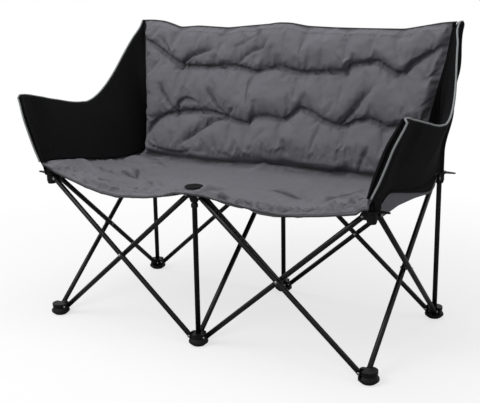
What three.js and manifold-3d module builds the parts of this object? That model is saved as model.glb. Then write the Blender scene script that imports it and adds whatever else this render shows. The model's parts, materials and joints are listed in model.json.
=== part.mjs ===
// Two-seat folding camping chair: six feet and six hubs on a three by two grid,
// joined by seven scissor pairs of steel tube, with a padded fabric seat, back and sides.
// Millimetres, +Z up. X runs across the seat, and the sitter faces -Y.
// The origin lies on the ground under the middle of the frame.

import * as THREE from 'three';
import Module from 'manifold-3d';
import { mergeVertices } from 'three/addons/utils/BufferGeometryUtils.js';

const wasm = await Module();
wasm.setup();

// Frame grid
const bayWidth = 561;
const frameDepth = 561;
const footPivotHeight = 28;
const hubPivotHeight = 473;
const pivotReach = 24.4;

// Scissor tubes
const tubeRadius = 8;
const tubeWall = 1.2;
const tubeOverhang = 9;
const crossingGap = 2;

// Rivets
const rivetRadius = 2.5;
const rivetHeadRadius = 5.5;
const rivetHeadHeight = 2.2;
const washerRadius = 6.5;

// Clearances between pieces
const seatGap = 0.4;
const runningGap = 0.6;
const cutOverrun = 60;

// Feet
const soleRadius = 20;
const footFlangeRadius = 30.5;
const footWaistRadius = 25;
const footTopRadius = 26.5;
const footChamferHeight = 9;
const footFlangeHeight = 14.5;
const footTopFlange = 7;
const footHeight = 38;
const socketFloor = 8;

// Hubs, with heights counted from the hub's pivots
const hubFlangeRadius = 21.5;
const hubFlangeFloor = 12.6;
const hubFlangeTop = 18;
const hubColumnRadius = 15;
const hubTipRadius = 12;
const hubDrop = 19;

// Lugs that carry the rivets on feet and hubs
const lugThickness = 10;
const lugNose = 7;
const lugRise = 8.5;
const lugDrop = 15;

// Pointed corner tongues on the outer hubs
const tongueLength = 51;
const tongueRootWidth = 30;
const tongueTipWidth = 5;
const tongueThickness = 4;

// Back posts, with their rises counted from the hub pivots
const postRadius = 8;
const bendStartRise = 255;
const bendLength = 44;
const postTopRise = 469;
const postLean = 31;
const postSpread = 36;
const postOverrunShare = 1.1;

// Front centre strut
const strutCapRadius = 10.75;
const strutCapDrop = 20;
const strutCapHeight = 17;
const strutPegRadius = 6;
const strutPegHeight = 10;
const strutRingRadius = 10.6;
const strutGroove = 1.6;

// Arm poles and their hinges on the front corner hubs
const armRadius = 6.5;
const armWall = 1;
const armHingeRise = 31;
const armOverhang = 7;
const armLean = 88;
const armTopRise = 260;
const earThickness = 4.5;
const earRadius = 9;
const earGap = 0.9;

// Seat clamp disc over the front centre hub
const discRadius = 29;
const discHeight = 4;
const discDomeRadius = 24;
const stemRadius = 5;
const stemDepth = 9;
const headRecess = 1.4;
const screwHeadRadius = 7;

// Seat pad, with its rises counted from the hub pivots
const seatHalfWidth = 564;
const seatFrontCentreRise = 25;
const seatFrontCornerRise = 57;
const seatFrontDip = 37;
const seatFrontEdge = 292;
const seatCornerReach = 24;
const seatRearRise = 4;
const seatRearLift = 13;
const seatSag = 16;
const seatSplit = 15;
const seatThickness = 26;
const seatHemThickness = 13;
const seatSideWrap = 44;
const seatEdge = 7;
const seatCrown = 7;
const seatHalfGap = 0.5;

// How the seat pad's shape runs, as shares of its depth or half width, and powers
const seatDipPower = 1.2;
const seatCornerPower = 8;
const seatSagPower = 4;
const seatFallShare = 0.77;
const seatLiftShare = 0.13;
const seatHemShare = 0.25;
const seatRearHemShare = 0.125;
const seatWrapShare = 0.12;
const seatWrapFadeShare = 0.1;
const seatWrapFrontShare = 0.17;
const seatWrapEndShare = 0.35;
const seatWrapEndFadeShare = 0.3;
const seatSideRoundShare = 0.015;
const seatSideTaperShare = 0.55;
const seatFrontTaperShare = 0.6;
const seatRearTaperShare = 0.7;
const seatEdgeRoundShare = 0.04;
const seatInsetShare = 0.33;
const seatCrownShare = 0.4;

// Back pad, with its rises counted from the hub pivots
const backBottomRise = 17;
const backTopCornerRise = 482;
const backTopDip = 26;
const backPostLift = 17;
const backPostLiftReach = 62;
const backFrontLine = 188;
const backRake = 95;
const backThickness = 29;
const backPocketDepth = 15;
const backPocketStartRise = 269;
const backPocketEndRise = 327;
const backCrown = 15;
const backEdge = 7;
const backSideGap = 2.5;
const tuftDepth = 13;
const tuftReach = 62;
const channelShares = [0, 0.29, 0.665, 1];
const upperTuftShares = [-0.74, -0.42, -0.13, 0.17, 0.45, 0.76];
const lowerTuftShares = [-0.7, -0.33, 0.13, 0.4, 0.7];
const backRowShares = [0, 0.02, 0.1, 0.21, 0.29, 0.37, 0.48, 0.59, 0.665, 0.74, 0.84, 0.94, 0.985, 1];
const backSideEdgeShare = 0.05;
const backRowEdgeShare = 0.03;
const backCrownFadeShare = 0.12;
const backTopPower = 10;
const pillowPower = 0.7;

// Side panels, with their rises counted from the hub pivots
const panelBottomX = 558;
const panelTopX = 655;
const panelFrontY = 306;
const panelFrontTopRise = 271;
const panelLowTopRise = 208;
const panelJoinY = 11;
const panelRearY = 299;
const panelThickness = 11;
const armSleeveHalf = 10.5;
const postSleeveHalf = 12.5;
const sleeveReach = 30;
const sleeveFade = 90;
const postJoinReach = 8;
const postJoinFade = 35;
const wingBulge = 25;
const wingStartRise = 77;
const wingEndRise = 467;
const wingFade = 140;
const panelEdge = 4;
const panelSeatGap = 2.2;
const panelSpreadPower = 2.1;
const panelRisePower = 2;
const panelEndTaperShare = 0.45;
const panelEdgeTaperShare = 0.6;
const panelRowShares = [0, 0.03, 0.2, 0.4, 0.6, 0.8, 0.97, 1];
const panelFrontShares = [0.35, 0.7];
const panelRearShares = [0.25, 0.5, 0.75];

// Facet counts
const tubeSides = 12;
const boreSides = 8;
const latheSides = 14;
const rivetSides = 8;
const holeSides = 6;
const lugNoseSides = 2;
const earSides = 8;
const postSteps = 5;
const seatColumns = 20;
const seatFrontRows = 5;
const seatRearRows = 4;
const backColumns = 22;

// Points closer than this are one point of a mesh
const weldReach = 1e-4;

// Worked-out places
const halfDepth = frameDepth / 2;
const lateral = tubeRadius + crossingGap / 2;
const lugFace = lateral - tubeRadius - seatGap;
const swingRadius = Math.hypot(tubeOverhang, tubeRadius) + seatGap;
const pocketStart = pivotReach - swingRadius;
const hubTop = hubPivotHeight + hubFlangeTop;
const bendStart = hubPivotHeight + bendStartRise;
const postTop = hubPivotHeight + postTopRise;
const strutCapTop = hubPivotHeight - strutCapDrop;
const armHingeHeight = hubPivotHeight + armHingeRise;
const armTop = hubPivotHeight + armTopRise;
const seatFrontCentre = hubPivotHeight + seatFrontCentreRise;
const seatFrontCorner = hubPivotHeight + seatFrontCornerRise;
const seatRearHeight = hubPivotHeight + seatRearRise;
const backBottom = hubPivotHeight + backBottomRise;
const backTopCorner = hubPivotHeight + backTopCornerRise;
const backPocketStart = hubPivotHeight + backPocketStartRise;
const backPocketEnd = hubPivotHeight + backPocketEndRise;
const panelFrontTop = hubPivotHeight + panelFrontTopRise;
const panelLowTop = hubPivotHeight + panelLowTopRise;
const up = new THREE.Vector3(0, 0, 1);

const model = new THREE.Group();

// Materials
const finishes = {
  tube: { color: 0x17171a, roughness: 0.42, metalness: 0.6 },
  plastic: { color: 0x141416, roughness: 0.55, metalness: 0 },
  rivet: { color: 0xb9bcc0, roughness: 0.3, metalness: 1 },
  greyFabric: { color: 0x6d6c70, roughness: 0.9, metalness: 0 },
  blackFabric: { color: 0x18181a, roughness: 0.92, metalness: 0 },
};

function material(kind) {
  return new THREE.MeshStandardMaterial(finishes[kind]);
}

// Solids, joined and cut as closed manifolds

function solid(geometry) {
  const bare = geometry.index ? geometry.toNonIndexed() : geometry.clone();
  for (const attribute of Object.keys(bare.attributes)) {
    if (attribute !== 'position') bare.deleteAttribute(attribute);
  }
  const merged = mergeVertices(bare, weldReach);
  return new wasm.Manifold(new wasm.Mesh({
    numProp: 3,
    vertProperties: new Float32Array(merged.attributes.position.array),
    triVerts: new Uint32Array(merged.index.array),
  }));
}

function geometryOf(body) {
  const parts = body.decompose();
  const largest = parts.reduce((a, b) => (a.volume() > b.volume() ? a : b));
  const mesh = largest.getMesh();
  const geometry = new THREE.BufferGeometry();
  geometry.setAttribute('position', new THREE.BufferAttribute(new Float32Array(mesh.vertProperties), 3));
  geometry.setIndex(new THREE.BufferAttribute(new Uint32Array(mesh.triVerts), 1));
  const flat = geometry.toNonIndexed();
  flat.computeVertexNormals();
  return flat;
}

function joined(bodies) {
  return bodies.reduce((a, b) => a.add(b));
}

function cut(body, tools) {
  return tools.reduce((a, b) => a.subtract(b), body);
}

function moved(geometry, position, rotation = new THREE.Quaternion()) {
  const matrix = new THREE.Matrix4().compose(position, rotation, new THREE.Vector3(1, 1, 1));
  return geometry.clone().applyMatrix4(matrix);
}

function place(name, geometry, kind, position = new THREE.Vector3(), rotation = new THREE.Quaternion()) {
  const mesh = new THREE.Mesh(geometry, material(kind));
  mesh.name = name;
  mesh.position.copy(position);
  mesh.quaternion.copy(rotation);
  model.add(mesh);
  return mesh;
}

// A turned solid about Z from [radius, height] pairs that start and end on the axis
function turned(profile, sides = latheSides) {
  const points = profile.map(([radius, height]) => new THREE.Vector2(radius, height));
  const geometry = new THREE.LatheGeometry(points, sides);
  geometry.rotateX(Math.PI / 2);
  return geometry;
}

function rod(radius, from, to, sides = tubeSides) {
  const axis = new THREE.Vector3().subVectors(to, from);
  const geometry = new THREE.CylinderGeometry(radius, radius, axis.length(), sides);
  geometry.rotateX(Math.PI / 2);
  const turn = new THREE.Quaternion().setFromUnitVectors(up, axis.clone().normalize());
  return moved(geometry, from.clone().addScaledVector(axis, 1 / 2), turn);
}

// A rod for cutting: its flats, and not only its corners, clear the radius
function clearRod(radius, from, to, sides = tubeSides) {
  return rod(radius / Math.cos(Math.PI / sides), from, to, sides);
}

function extruded(shape, depth, curveSegments = 1) {
  return new THREE.ExtrudeGeometry(shape, { depth, bevelEnabled: false, curveSegments });
}

// The turn that takes X, Y and Z to three given directions
function turnTo(x, y, z) {
  return new THREE.Quaternion().setFromRotationMatrix(new THREE.Matrix4().makeBasis(x, y, z));
}

function block(low, high) {
  const size = new THREE.Vector3().subVectors(high, low);
  const middle = new THREE.Vector3().addVectors(low, high).multiplyScalar(1 / 2);
  return moved(new THREE.BoxGeometry(size.x, size.y, size.z), middle);
}

// Grid nodes, named by row (front, back) and column (left, centre, right)
const columns = { left: -1, centre: 0, right: 1 };
const rows = { front: -1, back: 1 };

function nodeAt(row, column) {
  return new THREE.Vector3(columns[column] * bayWidth, rows[row] * halfDepth, 0);
}

// Directions from a node towards its neighbours in the grid
function arms(row, column) {
  const found = [new THREE.Vector3(0, -rows[row], 0)];
  if (columns[column] > -1) found.push(new THREE.Vector3(-1, 0, 0));
  if (columns[column] < 1) found.push(new THREE.Vector3(1, 0, 0));
  return found;
}

// Tubes: seven scissor pairs

function tubeWithHoles(length, radius, wall, overhang, holes) {
  const start = new THREE.Vector3(-overhang, 0, 0);
  const end = new THREE.Vector3(length + overhang, 0, 0);
  const boreStart = start.clone().setX(start.x - wall);
  const boreEnd = end.clone().setX(end.x + wall);
  const bore = rod(radius - wall, boreStart, boreEnd, boreSides);
  const drilled = holes.map((x) => clearRod(
    rivetRadius + seatGap,
    new THREE.Vector3(x, -radius - wall, 0),
    new THREE.Vector3(x, radius + wall, 0),
    holeSides,
  ));
  return cut(solid(rod(radius, start, end)), [bore, ...drilled].map(solid));
}

// The tube leaves its foot on the left of its direction of travel, so it passes its partner
function tubePlan(footNode, hubNode) {
  const direction = new THREE.Vector3().subVectors(hubNode, footNode).normalize();
  const sideways = new THREE.Vector3().crossVectors(up, direction);
  const low = footNode.clone().addScaledVector(direction, pivotReach).addScaledVector(sideways, lateral);
  const high = hubNode.clone().addScaledVector(direction, -pivotReach).addScaledVector(sideways, lateral);
  low.setZ(footPivotHeight);
  high.setZ(hubPivotHeight);
  return { low, high, direction, sideways };
}

function tubeTurn({ low, high, sideways }) {
  const along = new THREE.Vector3().subVectors(high, low).normalize();
  const third = new THREE.Vector3().crossVectors(along, sideways);
  return turnTo(along, sideways, third);
}

const scissors = [
  ['front_left', ['front', 'left'], ['front', 'centre']],
  ['front_right', ['front', 'centre'], ['front', 'right']],
  ['back_left', ['back', 'left'], ['back', 'centre']],
  ['back_right', ['back', 'centre'], ['back', 'right']],
  ['side_left', ['front', 'left'], ['back', 'left']],
  ['side_middle', ['front', 'centre'], ['back', 'centre']],
  ['side_right', ['front', 'right'], ['back', 'right']],
];

const tubePlans = [];

function buildTube(name, footNode, hubNode) {
  const plan = tubePlan(footNode, hubNode);
  const length = plan.low.distanceTo(plan.high);
  const body = tubeWithHoles(length, tubeRadius, tubeWall, tubeOverhang, [0, length / 2, length]);
  place(name, geometryOf(body), 'tube', plan.low, tubeTurn(plan));
  tubePlans.push(plan);
}

// The rivet at a crossing: two heads and the washer between the tubes
function buildCrossPin(name, plan) {
  const face = lateral + tubeRadius + seatGap;
  const washer = crossingGap / 2 - seatGap;
  const head = face + rivetHeadHeight;
  const crownRadius = rivetHeadRadius / 2;
  const profile = [
    [0, -head], [crownRadius, -head], [rivetHeadRadius, -face], [rivetRadius, -face],
    [rivetRadius, -washer], [washerRadius, -washer], [washerRadius, washer], [rivetRadius, washer],
    [rivetRadius, face], [rivetHeadRadius, face], [crownRadius, head], [0, head],
  ];
  const middle = plan.low.clone().lerp(plan.high, 1 / 2).addScaledVector(plan.sideways, -lateral);
  const turn = new THREE.Quaternion().setFromUnitVectors(up, plan.sideways);
  place(name, turned(profile, rivetSides), 'rivet', middle, turn);
}

for (const [name, first, second] of scissors) {
  const nodes = [nodeAt(...first), nodeAt(...second)];
  buildTube(`tube_${name}_a`, nodes[0], nodes[1]);
  buildTube(`tube_${name}_b`, nodes[1], nodes[0]);
  buildCrossPin(`pin_${name}`, tubePlans[tubePlans.length - 1]);
}

// Feet and hubs share one lug: a plate with a round nose that carries the rivet of one tube.
// It is drawn for an arm along +X on a foot; on a hub it is turned over about the arm.

function lugPlate() {
  const shape = new THREE.Shape();
  shape.moveTo(0, -lugDrop);
  shape.lineTo(pivotReach, -lugDrop);
  shape.quadraticCurveTo(pivotReach + lugNose, -lugNose, pivotReach + lugNose, 0);
  shape.quadraticCurveTo(pivotReach + lugNose, lugRise, pivotReach, lugRise);
  shape.lineTo(0, lugRise);
  shape.closePath();
  const plate = extruded(shape, lugThickness, lugNoseSides);
  plate.rotateX(Math.PI / 2);
  plate.translate(0, lugFace, 0);
  return plate;
}

function lugPocket() {
  const low = new THREE.Vector3(pocketStart, lugFace, -swingRadius);
  const high = new THREE.Vector3(cutOverrun, cutOverrun, cutOverrun);
  return block(low, high);
}

function lugRivet() {
  const near = lugFace - lugThickness;
  const far = lateral + tubeRadius + seatGap;
  const crownRadius = rivetHeadRadius / 2;
  const profile = [
    [0, near - rivetHeadHeight], [crownRadius, near - rivetHeadHeight], [rivetHeadRadius, near],
    [rivetRadius, near], [rivetRadius, far], [rivetHeadRadius, far],
    [crownRadius, far + rivetHeadHeight], [0, far + rivetHeadHeight],
  ];
  const rivet = turned(profile, rivetSides);
  rivet.rotateX(-Math.PI / 2);
  rivet.translate(pivotReach, 0, 0);
  return rivet;
}

function onArm(geometry, direction, turnedOver) {
  const copy = geometry.clone();
  if (turnedOver) copy.rotateX(Math.PI);
  copy.rotateZ(Math.atan2(direction.y, direction.x));
  return solid(copy);
}

function withLugs(core, directions, turnedOver) {
  const plates = directions.map((d) => onArm(lugPlate(), d, turnedOver));
  const pockets = directions.map((d) => onArm(lugPocket(), d, turnedOver));
  const rivets = directions.map((d) => onArm(lugRivet(), d, turnedOver));
  return joined([cut(joined([core, ...plates]), pockets), ...rivets]);
}

function footCore() {
  const base = -footPivotHeight;
  const neck = (footFlangeHeight + footHeight - footTopFlange) / 2;
  return solid(turned([
    [0, base], [soleRadius, base], [footFlangeRadius, base + footChamferHeight],
    [footFlangeRadius, base + footFlangeHeight], [footWaistRadius, base + neck],
    [footTopRadius, base + footHeight - footTopFlange], [footTopRadius, base + footHeight],
    [0, base + footHeight],
  ]));
}

// Feet with an upright have a blind socket for it
function hasUpright(row, column) {
  return row === 'back' || column === 'centre';
}

function buildFoot(row, column) {
  let body = withLugs(footCore(), arms(row, column), false);
  if (hasUpright(row, column)) {
    const floor = new THREE.Vector3(0, 0, socketFloor - footPivotHeight);
    const mouth = new THREE.Vector3(0, 0, cutOverrun);
    body = cut(body, [solid(clearRod(postRadius + seatGap, floor, mouth))]);
  }
  place(`foot_${row}_${column}`, geometryOf(body), 'plastic', nodeAt(row, column).setZ(footPivotHeight));
}

function hubCore() {
  return solid(turned([
    [0, -hubDrop], [hubTipRadius, -hubDrop], [hubColumnRadius, -hubDrop / 2],
    [hubColumnRadius, hubFlangeFloor - tubeRadius / 2], [hubFlangeRadius, hubFlangeFloor],
    [hubFlangeRadius, hubFlangeTop], [0, hubFlangeTop],
  ]));
}

// A flat tongue that points outwards along X
function tonguePlate(side) {
  const shape = new THREE.Shape();
  shape.moveTo(0, -tongueRootWidth / 2);
  shape.lineTo(tongueLength, -tongueTipWidth / 2);
  shape.lineTo(tongueLength, tongueTipWidth / 2);
  shape.lineTo(0, tongueRootWidth / 2);
  shape.closePath();
  const plate = extruded(shape, tongueThickness);
  plate.translate(0, 0, hubFlangeTop - tongueThickness);
  if (side < 0) plate.rotateZ(Math.PI);
  return solid(plate);
}

// Two ears and a pin on top of a front corner hub carry the arm pole
function armEars() {
  const inner = armRadius + earGap;
  const shape = new THREE.Shape();
  shape.moveTo(-earRadius, hubFlangeTop - tongueThickness);
  shape.lineTo(earRadius, hubFlangeTop - tongueThickness);
  shape.lineTo(earRadius, armHingeRise);
  shape.absarc(0, armHingeRise, earRadius, 0, Math.PI, false);
  shape.closePath();
  const plate = extruded(shape, earThickness, earSides);
  plate.rotateX(Math.PI / 2);
  const near = moved(plate, new THREE.Vector3(0, -inner, 0));
  const far = moved(plate, new THREE.Vector3(0, inner + earThickness, 0));
  const outside = inner + earThickness + rivetHeadHeight / 2;
  const pin = rod(
    rivetRadius,
    new THREE.Vector3(0, -outside, armHingeRise),
    new THREE.Vector3(0, outside, armHingeRise),
    rivetSides,
  );
  return [near, far, pin].map(solid);
}

function buildHub(row, column) {
  const outer = column !== 'centre';
  let body = withLugs(hubCore(), arms(row, column), true);
  if (outer) body = body.add(tonguePlate(columns[column]));
  if (outer && row === 'front') body = joined([body, ...armEars()]);
  const under = new THREE.Vector3(0, 0, -cutOverrun);
  const over = new THREE.Vector3(0, 0, cutOverrun);
  if (row === 'back') {
    body = cut(body, [solid(clearRod(postRadius + runningGap, under, over))]);
  } else if (!outer) {
    const cup = under.clone().setZ(strutCapTop + strutPegHeight + runningGap - hubPivotHeight);
    const stemFloor = over.clone().setZ(hubFlangeTop - stemDepth - runningGap);
    body = cut(body, [
      solid(clearRod(strutPegRadius + runningGap, under, cup)),
      solid(clearRod(stemRadius + seatGap, stemFloor, over)),
    ]);
  }
  place(`hub_${row}_${column}`, geometryOf(body), 'plastic', nodeAt(row, column).setZ(hubPivotHeight));
}

for (const row of Object.keys(rows)) {
  for (const column of Object.keys(columns)) {
    buildFoot(row, column);
    buildHub(row, column);
  }
}

// Back posts stand in the back feet, pass through the back hubs and bend back above them

class PostLine extends THREE.Curve {
  constructor(spread) {
    super();
    this.bottom = new THREE.Vector3(0, 0, socketFloor + seatGap);
    this.kneeStart = new THREE.Vector3(0, 0, bendStart);
    this.knee = new THREE.Vector3(0, 0, bendStart + bendLength / 2);
    this.top = new THREE.Vector3(spread, postLean, postTop);
    const leaning = new THREE.Vector3().subVectors(this.top, this.knee).normalize();
    this.kneeEnd = this.knee.clone().addScaledVector(leaning, bendLength / 2);
    this.bend = new THREE.QuadraticBezierCurve3(this.kneeStart, this.knee, this.kneeEnd);
  }

  // One step of the sweep lies below the bend, one above it and the rest in it
  getPoint(t, target = new THREE.Vector3()) {
    const bendShare = (t * postSteps - 1) / (postSteps - 2);
    if (bendShare <= 0) return target.copy(this.bottom).lerp(this.kneeStart, t * postSteps);
    if (bendShare >= 1) return target.copy(this.kneeEnd).lerp(this.top, t * postSteps - postSteps + 1);
    return target.copy(this.bend.getPoint(bendShare));
  }

  getUtoTmapping(u) {
    return u;
  }
}

function postGeometry(spread, radius, hollow) {
  const section = new THREE.Shape();
  section.absarc(0, 0, radius, 0, Math.PI * 2, false);
  if (hollow) {
    const bore = new THREE.Path();
    bore.absarc(0, 0, radius - tubeWall, 0, Math.PI * 2, true);
    section.holes.push(bore);
  }
  return new THREE.ExtrudeGeometry(section, {
    steps: postSteps,
    curveSegments: tubeSides / 2,
    extrudePath: new PostLine(spread),
  });
}

// The pockets of the back pad cover the open tops of the posts
for (const column of Object.keys(columns)) {
  const spread = columns[column] * postSpread;
  const body = solid(postGeometry(spread, postRadius, true));
  place(`post_${column}`, geometryOf(body), 'tube', nodeAt('back', column));
}

// The front centre strut stands in its foot, and its peg seats in the hub above
function buildStrut() {
  const capFloor = strutCapTop - strutCapHeight;
  const grooveRadius = postRadius - strutGroove / 2;
  const ring = strutCapHeight / 3;
  const profile = [
    [0, socketFloor + seatGap], [postRadius, socketFloor + seatGap], [postRadius, capFloor],
    [strutCapRadius, capFloor + strutGroove], [strutCapRadius, strutCapTop - ring],
    [grooveRadius, strutCapTop - ring + strutGroove], [grooveRadius, strutCapTop - strutGroove],
    [strutRingRadius, strutCapTop], [strutPegRadius, strutCapTop],
    [strutPegRadius, strutCapTop + strutPegHeight - strutGroove],
    [strutPegRadius - strutGroove, strutCapTop + strutPegHeight], [0, strutCapTop + strutPegHeight],
  ];
  place('strut_front_centre', turned(profile, tubeSides), 'tube', nodeAt('front', 'centre'));
}
buildStrut();

// Arm poles lean outwards from the front corner hubs
function armPlan(side) {
  const foot = nodeAt('front', side < 0 ? 'left' : 'right').setZ(armHingeHeight);
  const tip = foot.clone().add(new THREE.Vector3(side * armLean, 0, armTop - armHingeHeight));
  return { foot, tip };
}

function buildArmPole(name, side) {
  const { foot, tip } = armPlan(side);
  const length = foot.distanceTo(tip) - armOverhang;
  const along = new THREE.Vector3().subVectors(tip, foot).normalize();
  const across = new THREE.Vector3(0, 1, 0);
  const third = new THREE.Vector3().crossVectors(along, across);
  const body = tubeWithHoles(length, armRadius, armWall, armOverhang, [0]);
  place(name, geometryOf(body), 'tube', foot, turnTo(along, across, third));
}
buildArmPole('arm_pole_left', -1);
buildArmPole('arm_pole_right', 1);

// The clamp disc holds the seat down on the front centre hub
function buildDisc() {
  const top = seatFrontCentre + seatGap + discHeight;
  const profile = [
    [0, hubTop - stemDepth], [stemRadius, hubTop - stemDepth], [stemRadius, seatFrontCentre + seatGap],
    [discRadius, seatFrontCentre + seatGap], [discRadius, seatFrontCentre + seatGap + discHeight / 3],
    [discDomeRadius, top], [screwHeadRadius, top], [screwHeadRadius - headRecess, top - headRecess],
    [0, top - headRecess],
  ];
  place('seat_clamp_disc', turned(profile, latheSides), 'plastic', nodeAt('front', 'centre'));
}
buildDisc();

// Fabric pieces are closed pads between two surfaces over a grid of u and v

function smooth(t) {
  const c = THREE.MathUtils.clamp(t, 0, 1);
  return c * c * (3 - 2 * c);
}

function mix(a, b, t) {
  return a + (b - a) * t;
}

function pad(uStations, vStations, front, back) {
  const positions = [];
  const across = uStations.length;
  const count = across * vStations.length;
  for (const surface of [front, back]) {
    for (const v of vStations) {
      for (const u of uStations) positions.push(...surface(u, v).toArray());
    }
  }
  const index = [];
  const quad = (a, b, c, d) => index.push(a, b, c, a, c, d);
  const at = (i, j) => j * across + i;
  const lastU = across - 1;
  const lastV = vStations.length - 1;
  for (let j = 0; j < lastV; j += 1) {
    for (let i = 0; i < lastU; i += 1) {
      quad(at(i, j), at(i + 1, j), at(i + 1, j + 1), at(i, j + 1));
      quad(count + at(i, j), count + at(i, j + 1), count + at(i + 1, j + 1), count + at(i + 1, j));
    }
    quad(at(0, j), at(0, j + 1), count + at(0, j + 1), count + at(0, j));
    quad(at(lastU, j + 1), at(lastU, j), count + at(lastU, j), count + at(lastU, j + 1));
  }
  for (let i = 0; i < lastU; i += 1) {
    quad(at(i + 1, 0), at(i, 0), count + at(i, 0), count + at(i + 1, 0));
    quad(at(i, lastV), at(i + 1, lastV), count + at(i + 1, lastV), count + at(i, lastV));
  }
  const geometry = new THREE.BufferGeometry();
  geometry.setAttribute('position', new THREE.Float32BufferAttribute(positions, 3));
  geometry.setIndex(index);
  const body = solid(geometry);
  if (body.volume() >= 0) return body;
  geometry.setIndex(index.slice().reverse());
  return solid(geometry);
}

// Evenly spaced stations with one more close to each rounded end
function stations(count, edgeShare, startRound = true, endRound = true) {
  const found = [];
  for (let i = 0; i <= count; i += 1) found.push(i / count);
  if (startRound) found.splice(1, 0, edgeShare);
  if (endRound) found.splice(found.length - 1, 0, 1 - edgeShare);
  return found;
}

// Envelopes of the frame that the fabric is cut to clear
function hubEnvelope(row, column) {
  const node = nodeAt(row, column);
  const base = node.clone().setZ(hubPivotHeight - cutOverrun);
  const found = [clearRod(hubFlangeRadius + seatGap, base, node.clone().setZ(hubTop + seatGap), latheSides)];
  if (row === 'front' && column !== 'centre') {
    const reach = armRadius + earGap + earThickness + rivetHeadHeight;
    const half = new THREE.Vector3(earRadius + seatGap, reach + seatGap, 0);
    const low = node.clone().setZ(hubPivotHeight).sub(half);
    found.push(block(low, node.clone().setZ(armHingeHeight + earRadius + seatGap).add(half)));
  }
  return found.map(solid);
}

function tubeEnvelopes() {
  return tubePlans.map(({ low, high }) => {
    const along = new THREE.Vector3().subVectors(high, low).normalize();
    const end = high.clone().addScaledVector(along, tubeOverhang + seatGap);
    return solid(clearRod(tubeRadius + seatGap, low, end, boreSides));
  });
}

// Room for a hub's lug, its rivet and the tube's end, as one block along the arm
function lugEnvelopes() {
  const near = lugFace - lugThickness - rivetHeadHeight - seatGap;
  const far = lateral + tubeRadius + rivetHeadHeight + seatGap * 2;
  return tubePlans.map(({ high, direction, sideways }) => {
    const low = new THREE.Vector3(-lugNose - seatGap, near, -cutOverrun);
    const reach = new THREE.Vector3(pivotReach, far, lugDrop + seatGap);
    const pivot = high.clone().addScaledVector(sideways, -lateral);
    return solid(moved(block(low, reach), pivot, turnTo(direction, sideways, up)));
  });
}

function postEnvelope(column) {
  const clear = (postRadius + seatGap) / Math.cos(Math.PI / tubeSides);
  const geometry = postGeometry(columns[column] * postSpread, clear, false);
  return solid(moved(geometry, nodeAt('back', column)));
}

function armEnvelope(side) {
  const { foot, tip } = armPlan(side);
  const along = new THREE.Vector3().subVectors(tip, foot).normalize();
  const start = foot.clone().addScaledVector(along, -armOverhang - seatGap);
  return solid(clearRod(armRadius + seatGap, start, tip.clone().addScaledVector(along, seatGap)));
}

// Seat pad: high over the hubs, hanging in a shallow curve between them
function seatFrontY(x) {
  return -seatFrontEdge - seatCornerReach * (Math.abs(x) / seatHalfWidth) ** seatCornerPower;
}

const seatRearY = halfDepth - hubFlangeRadius - seatGap;

function seatTopHeight(x, y) {
  const s = Math.min(1, Math.abs(x) / seatHalfWidth);
  const t = THREE.MathUtils.clamp((y - seatFrontY(x)) / (seatRearY - seatFrontY(x)), 0, 1);
  const dip = seatFrontDip * Math.sin(Math.PI * s) ** seatDipPower;
  const front = mix(seatFrontCentre, seatFrontCorner, s * s) - dip;
  const fall = smooth(t / seatFallShare);
  const lift = seatRearLift * smooth((t - 1 + seatLiftShare) / seatLiftShare);
  const sag = seatSag * Math.sin(Math.PI * t) * (1 - s ** seatSagPower);
  return mix(front, seatRearHeight, fall) - sag + lift;
}

function seatDepth(x, y) {
  const s = Math.min(1, Math.abs(x) / seatHalfWidth);
  const t = THREE.MathUtils.clamp((y - seatFrontY(x)) / (seatRearY - seatFrontY(x)), 0, 1);
  const bay = Math.sin(Math.PI * s);
  const hem = mix(seatHemThickness, seatThickness, bay);
  const inner = mix(hem, seatThickness, smooth(t / seatHemShare) * smooth((1 - t) / seatRearHemShare));
  const side = smooth((s - 1 + seatWrapShare) / seatWrapFadeShare);
  const wrap = smooth(t / seatWrapFrontShare) - smooth((t - seatWrapEndShare) / seatWrapEndFadeShare);
  return mix(inner, seatSideWrap, side * wrap);
}

function seatRound(s, t, startRound, endRound) {
  const side = mix(seatSideTaperShare, 1, smooth((1 - s) / seatSideRoundShare));
  const start = startRound ? mix(seatFrontTaperShare, 1, smooth(t / seatEdgeRoundShare)) : 1;
  const end = endRound ? mix(seatRearTaperShare, 1, smooth((1 - t) / seatEdgeRoundShare)) : 1;
  return side * start * end;
}

function seatHalf(v0, v1, uCount, vCount) {
  const yAt = (x, v) => mix(seatFrontY(x), seatRearY, v);
  const splitShare = (x) => (-seatSplit - seatFrontY(x)) / (seatRearY - seatFrontY(x));
  const share = (x, v) => mix(v0 ?? splitShare(x), v1 ?? splitShare(x), v);
  const shift = (v) => (v0 === null ? seatHalfGap / 2 * (1 - v) : -seatHalfGap / 2 * v);
  const point = (u, v, top) => {
    const x = mix(-seatHalfWidth, seatHalfWidth, u);
    const t = share(x, v);
    const y = yAt(x, t) + shift(v);
    const crown = seatCrown * Math.sin(Math.PI * t) * (1 - (Math.abs(x) / seatHalfWidth) ** seatCornerPower);
    const height = seatTopHeight(x, y);
    const depth = seatDepth(x, y);
    const rounded = depth * seatRound(Math.abs(x) / seatHalfWidth, t, v0 !== null, v1 !== null);
    const inset = (depth - rounded) * seatInsetShare;
    return new THREE.Vector3(x, y, top ? height - inset + crown * seatCrownShare : height - inset - rounded);
  };
  return pad(
    stations(uCount, seatEdge / seatHalfWidth),
    stations(vCount, seatEdgeRoundShare, v0 !== null, v1 !== null),
    (u, v) => point(u, v, true),
    (u, v) => point(u, v, false),
  );
}

function frameUnderSeat(row) {
  const hubs = Object.keys(columns).flatMap((column) => hubEnvelope(row, column));
  return [...hubs, ...tubeEnvelopes(), ...lugEnvelopes()];
}

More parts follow.
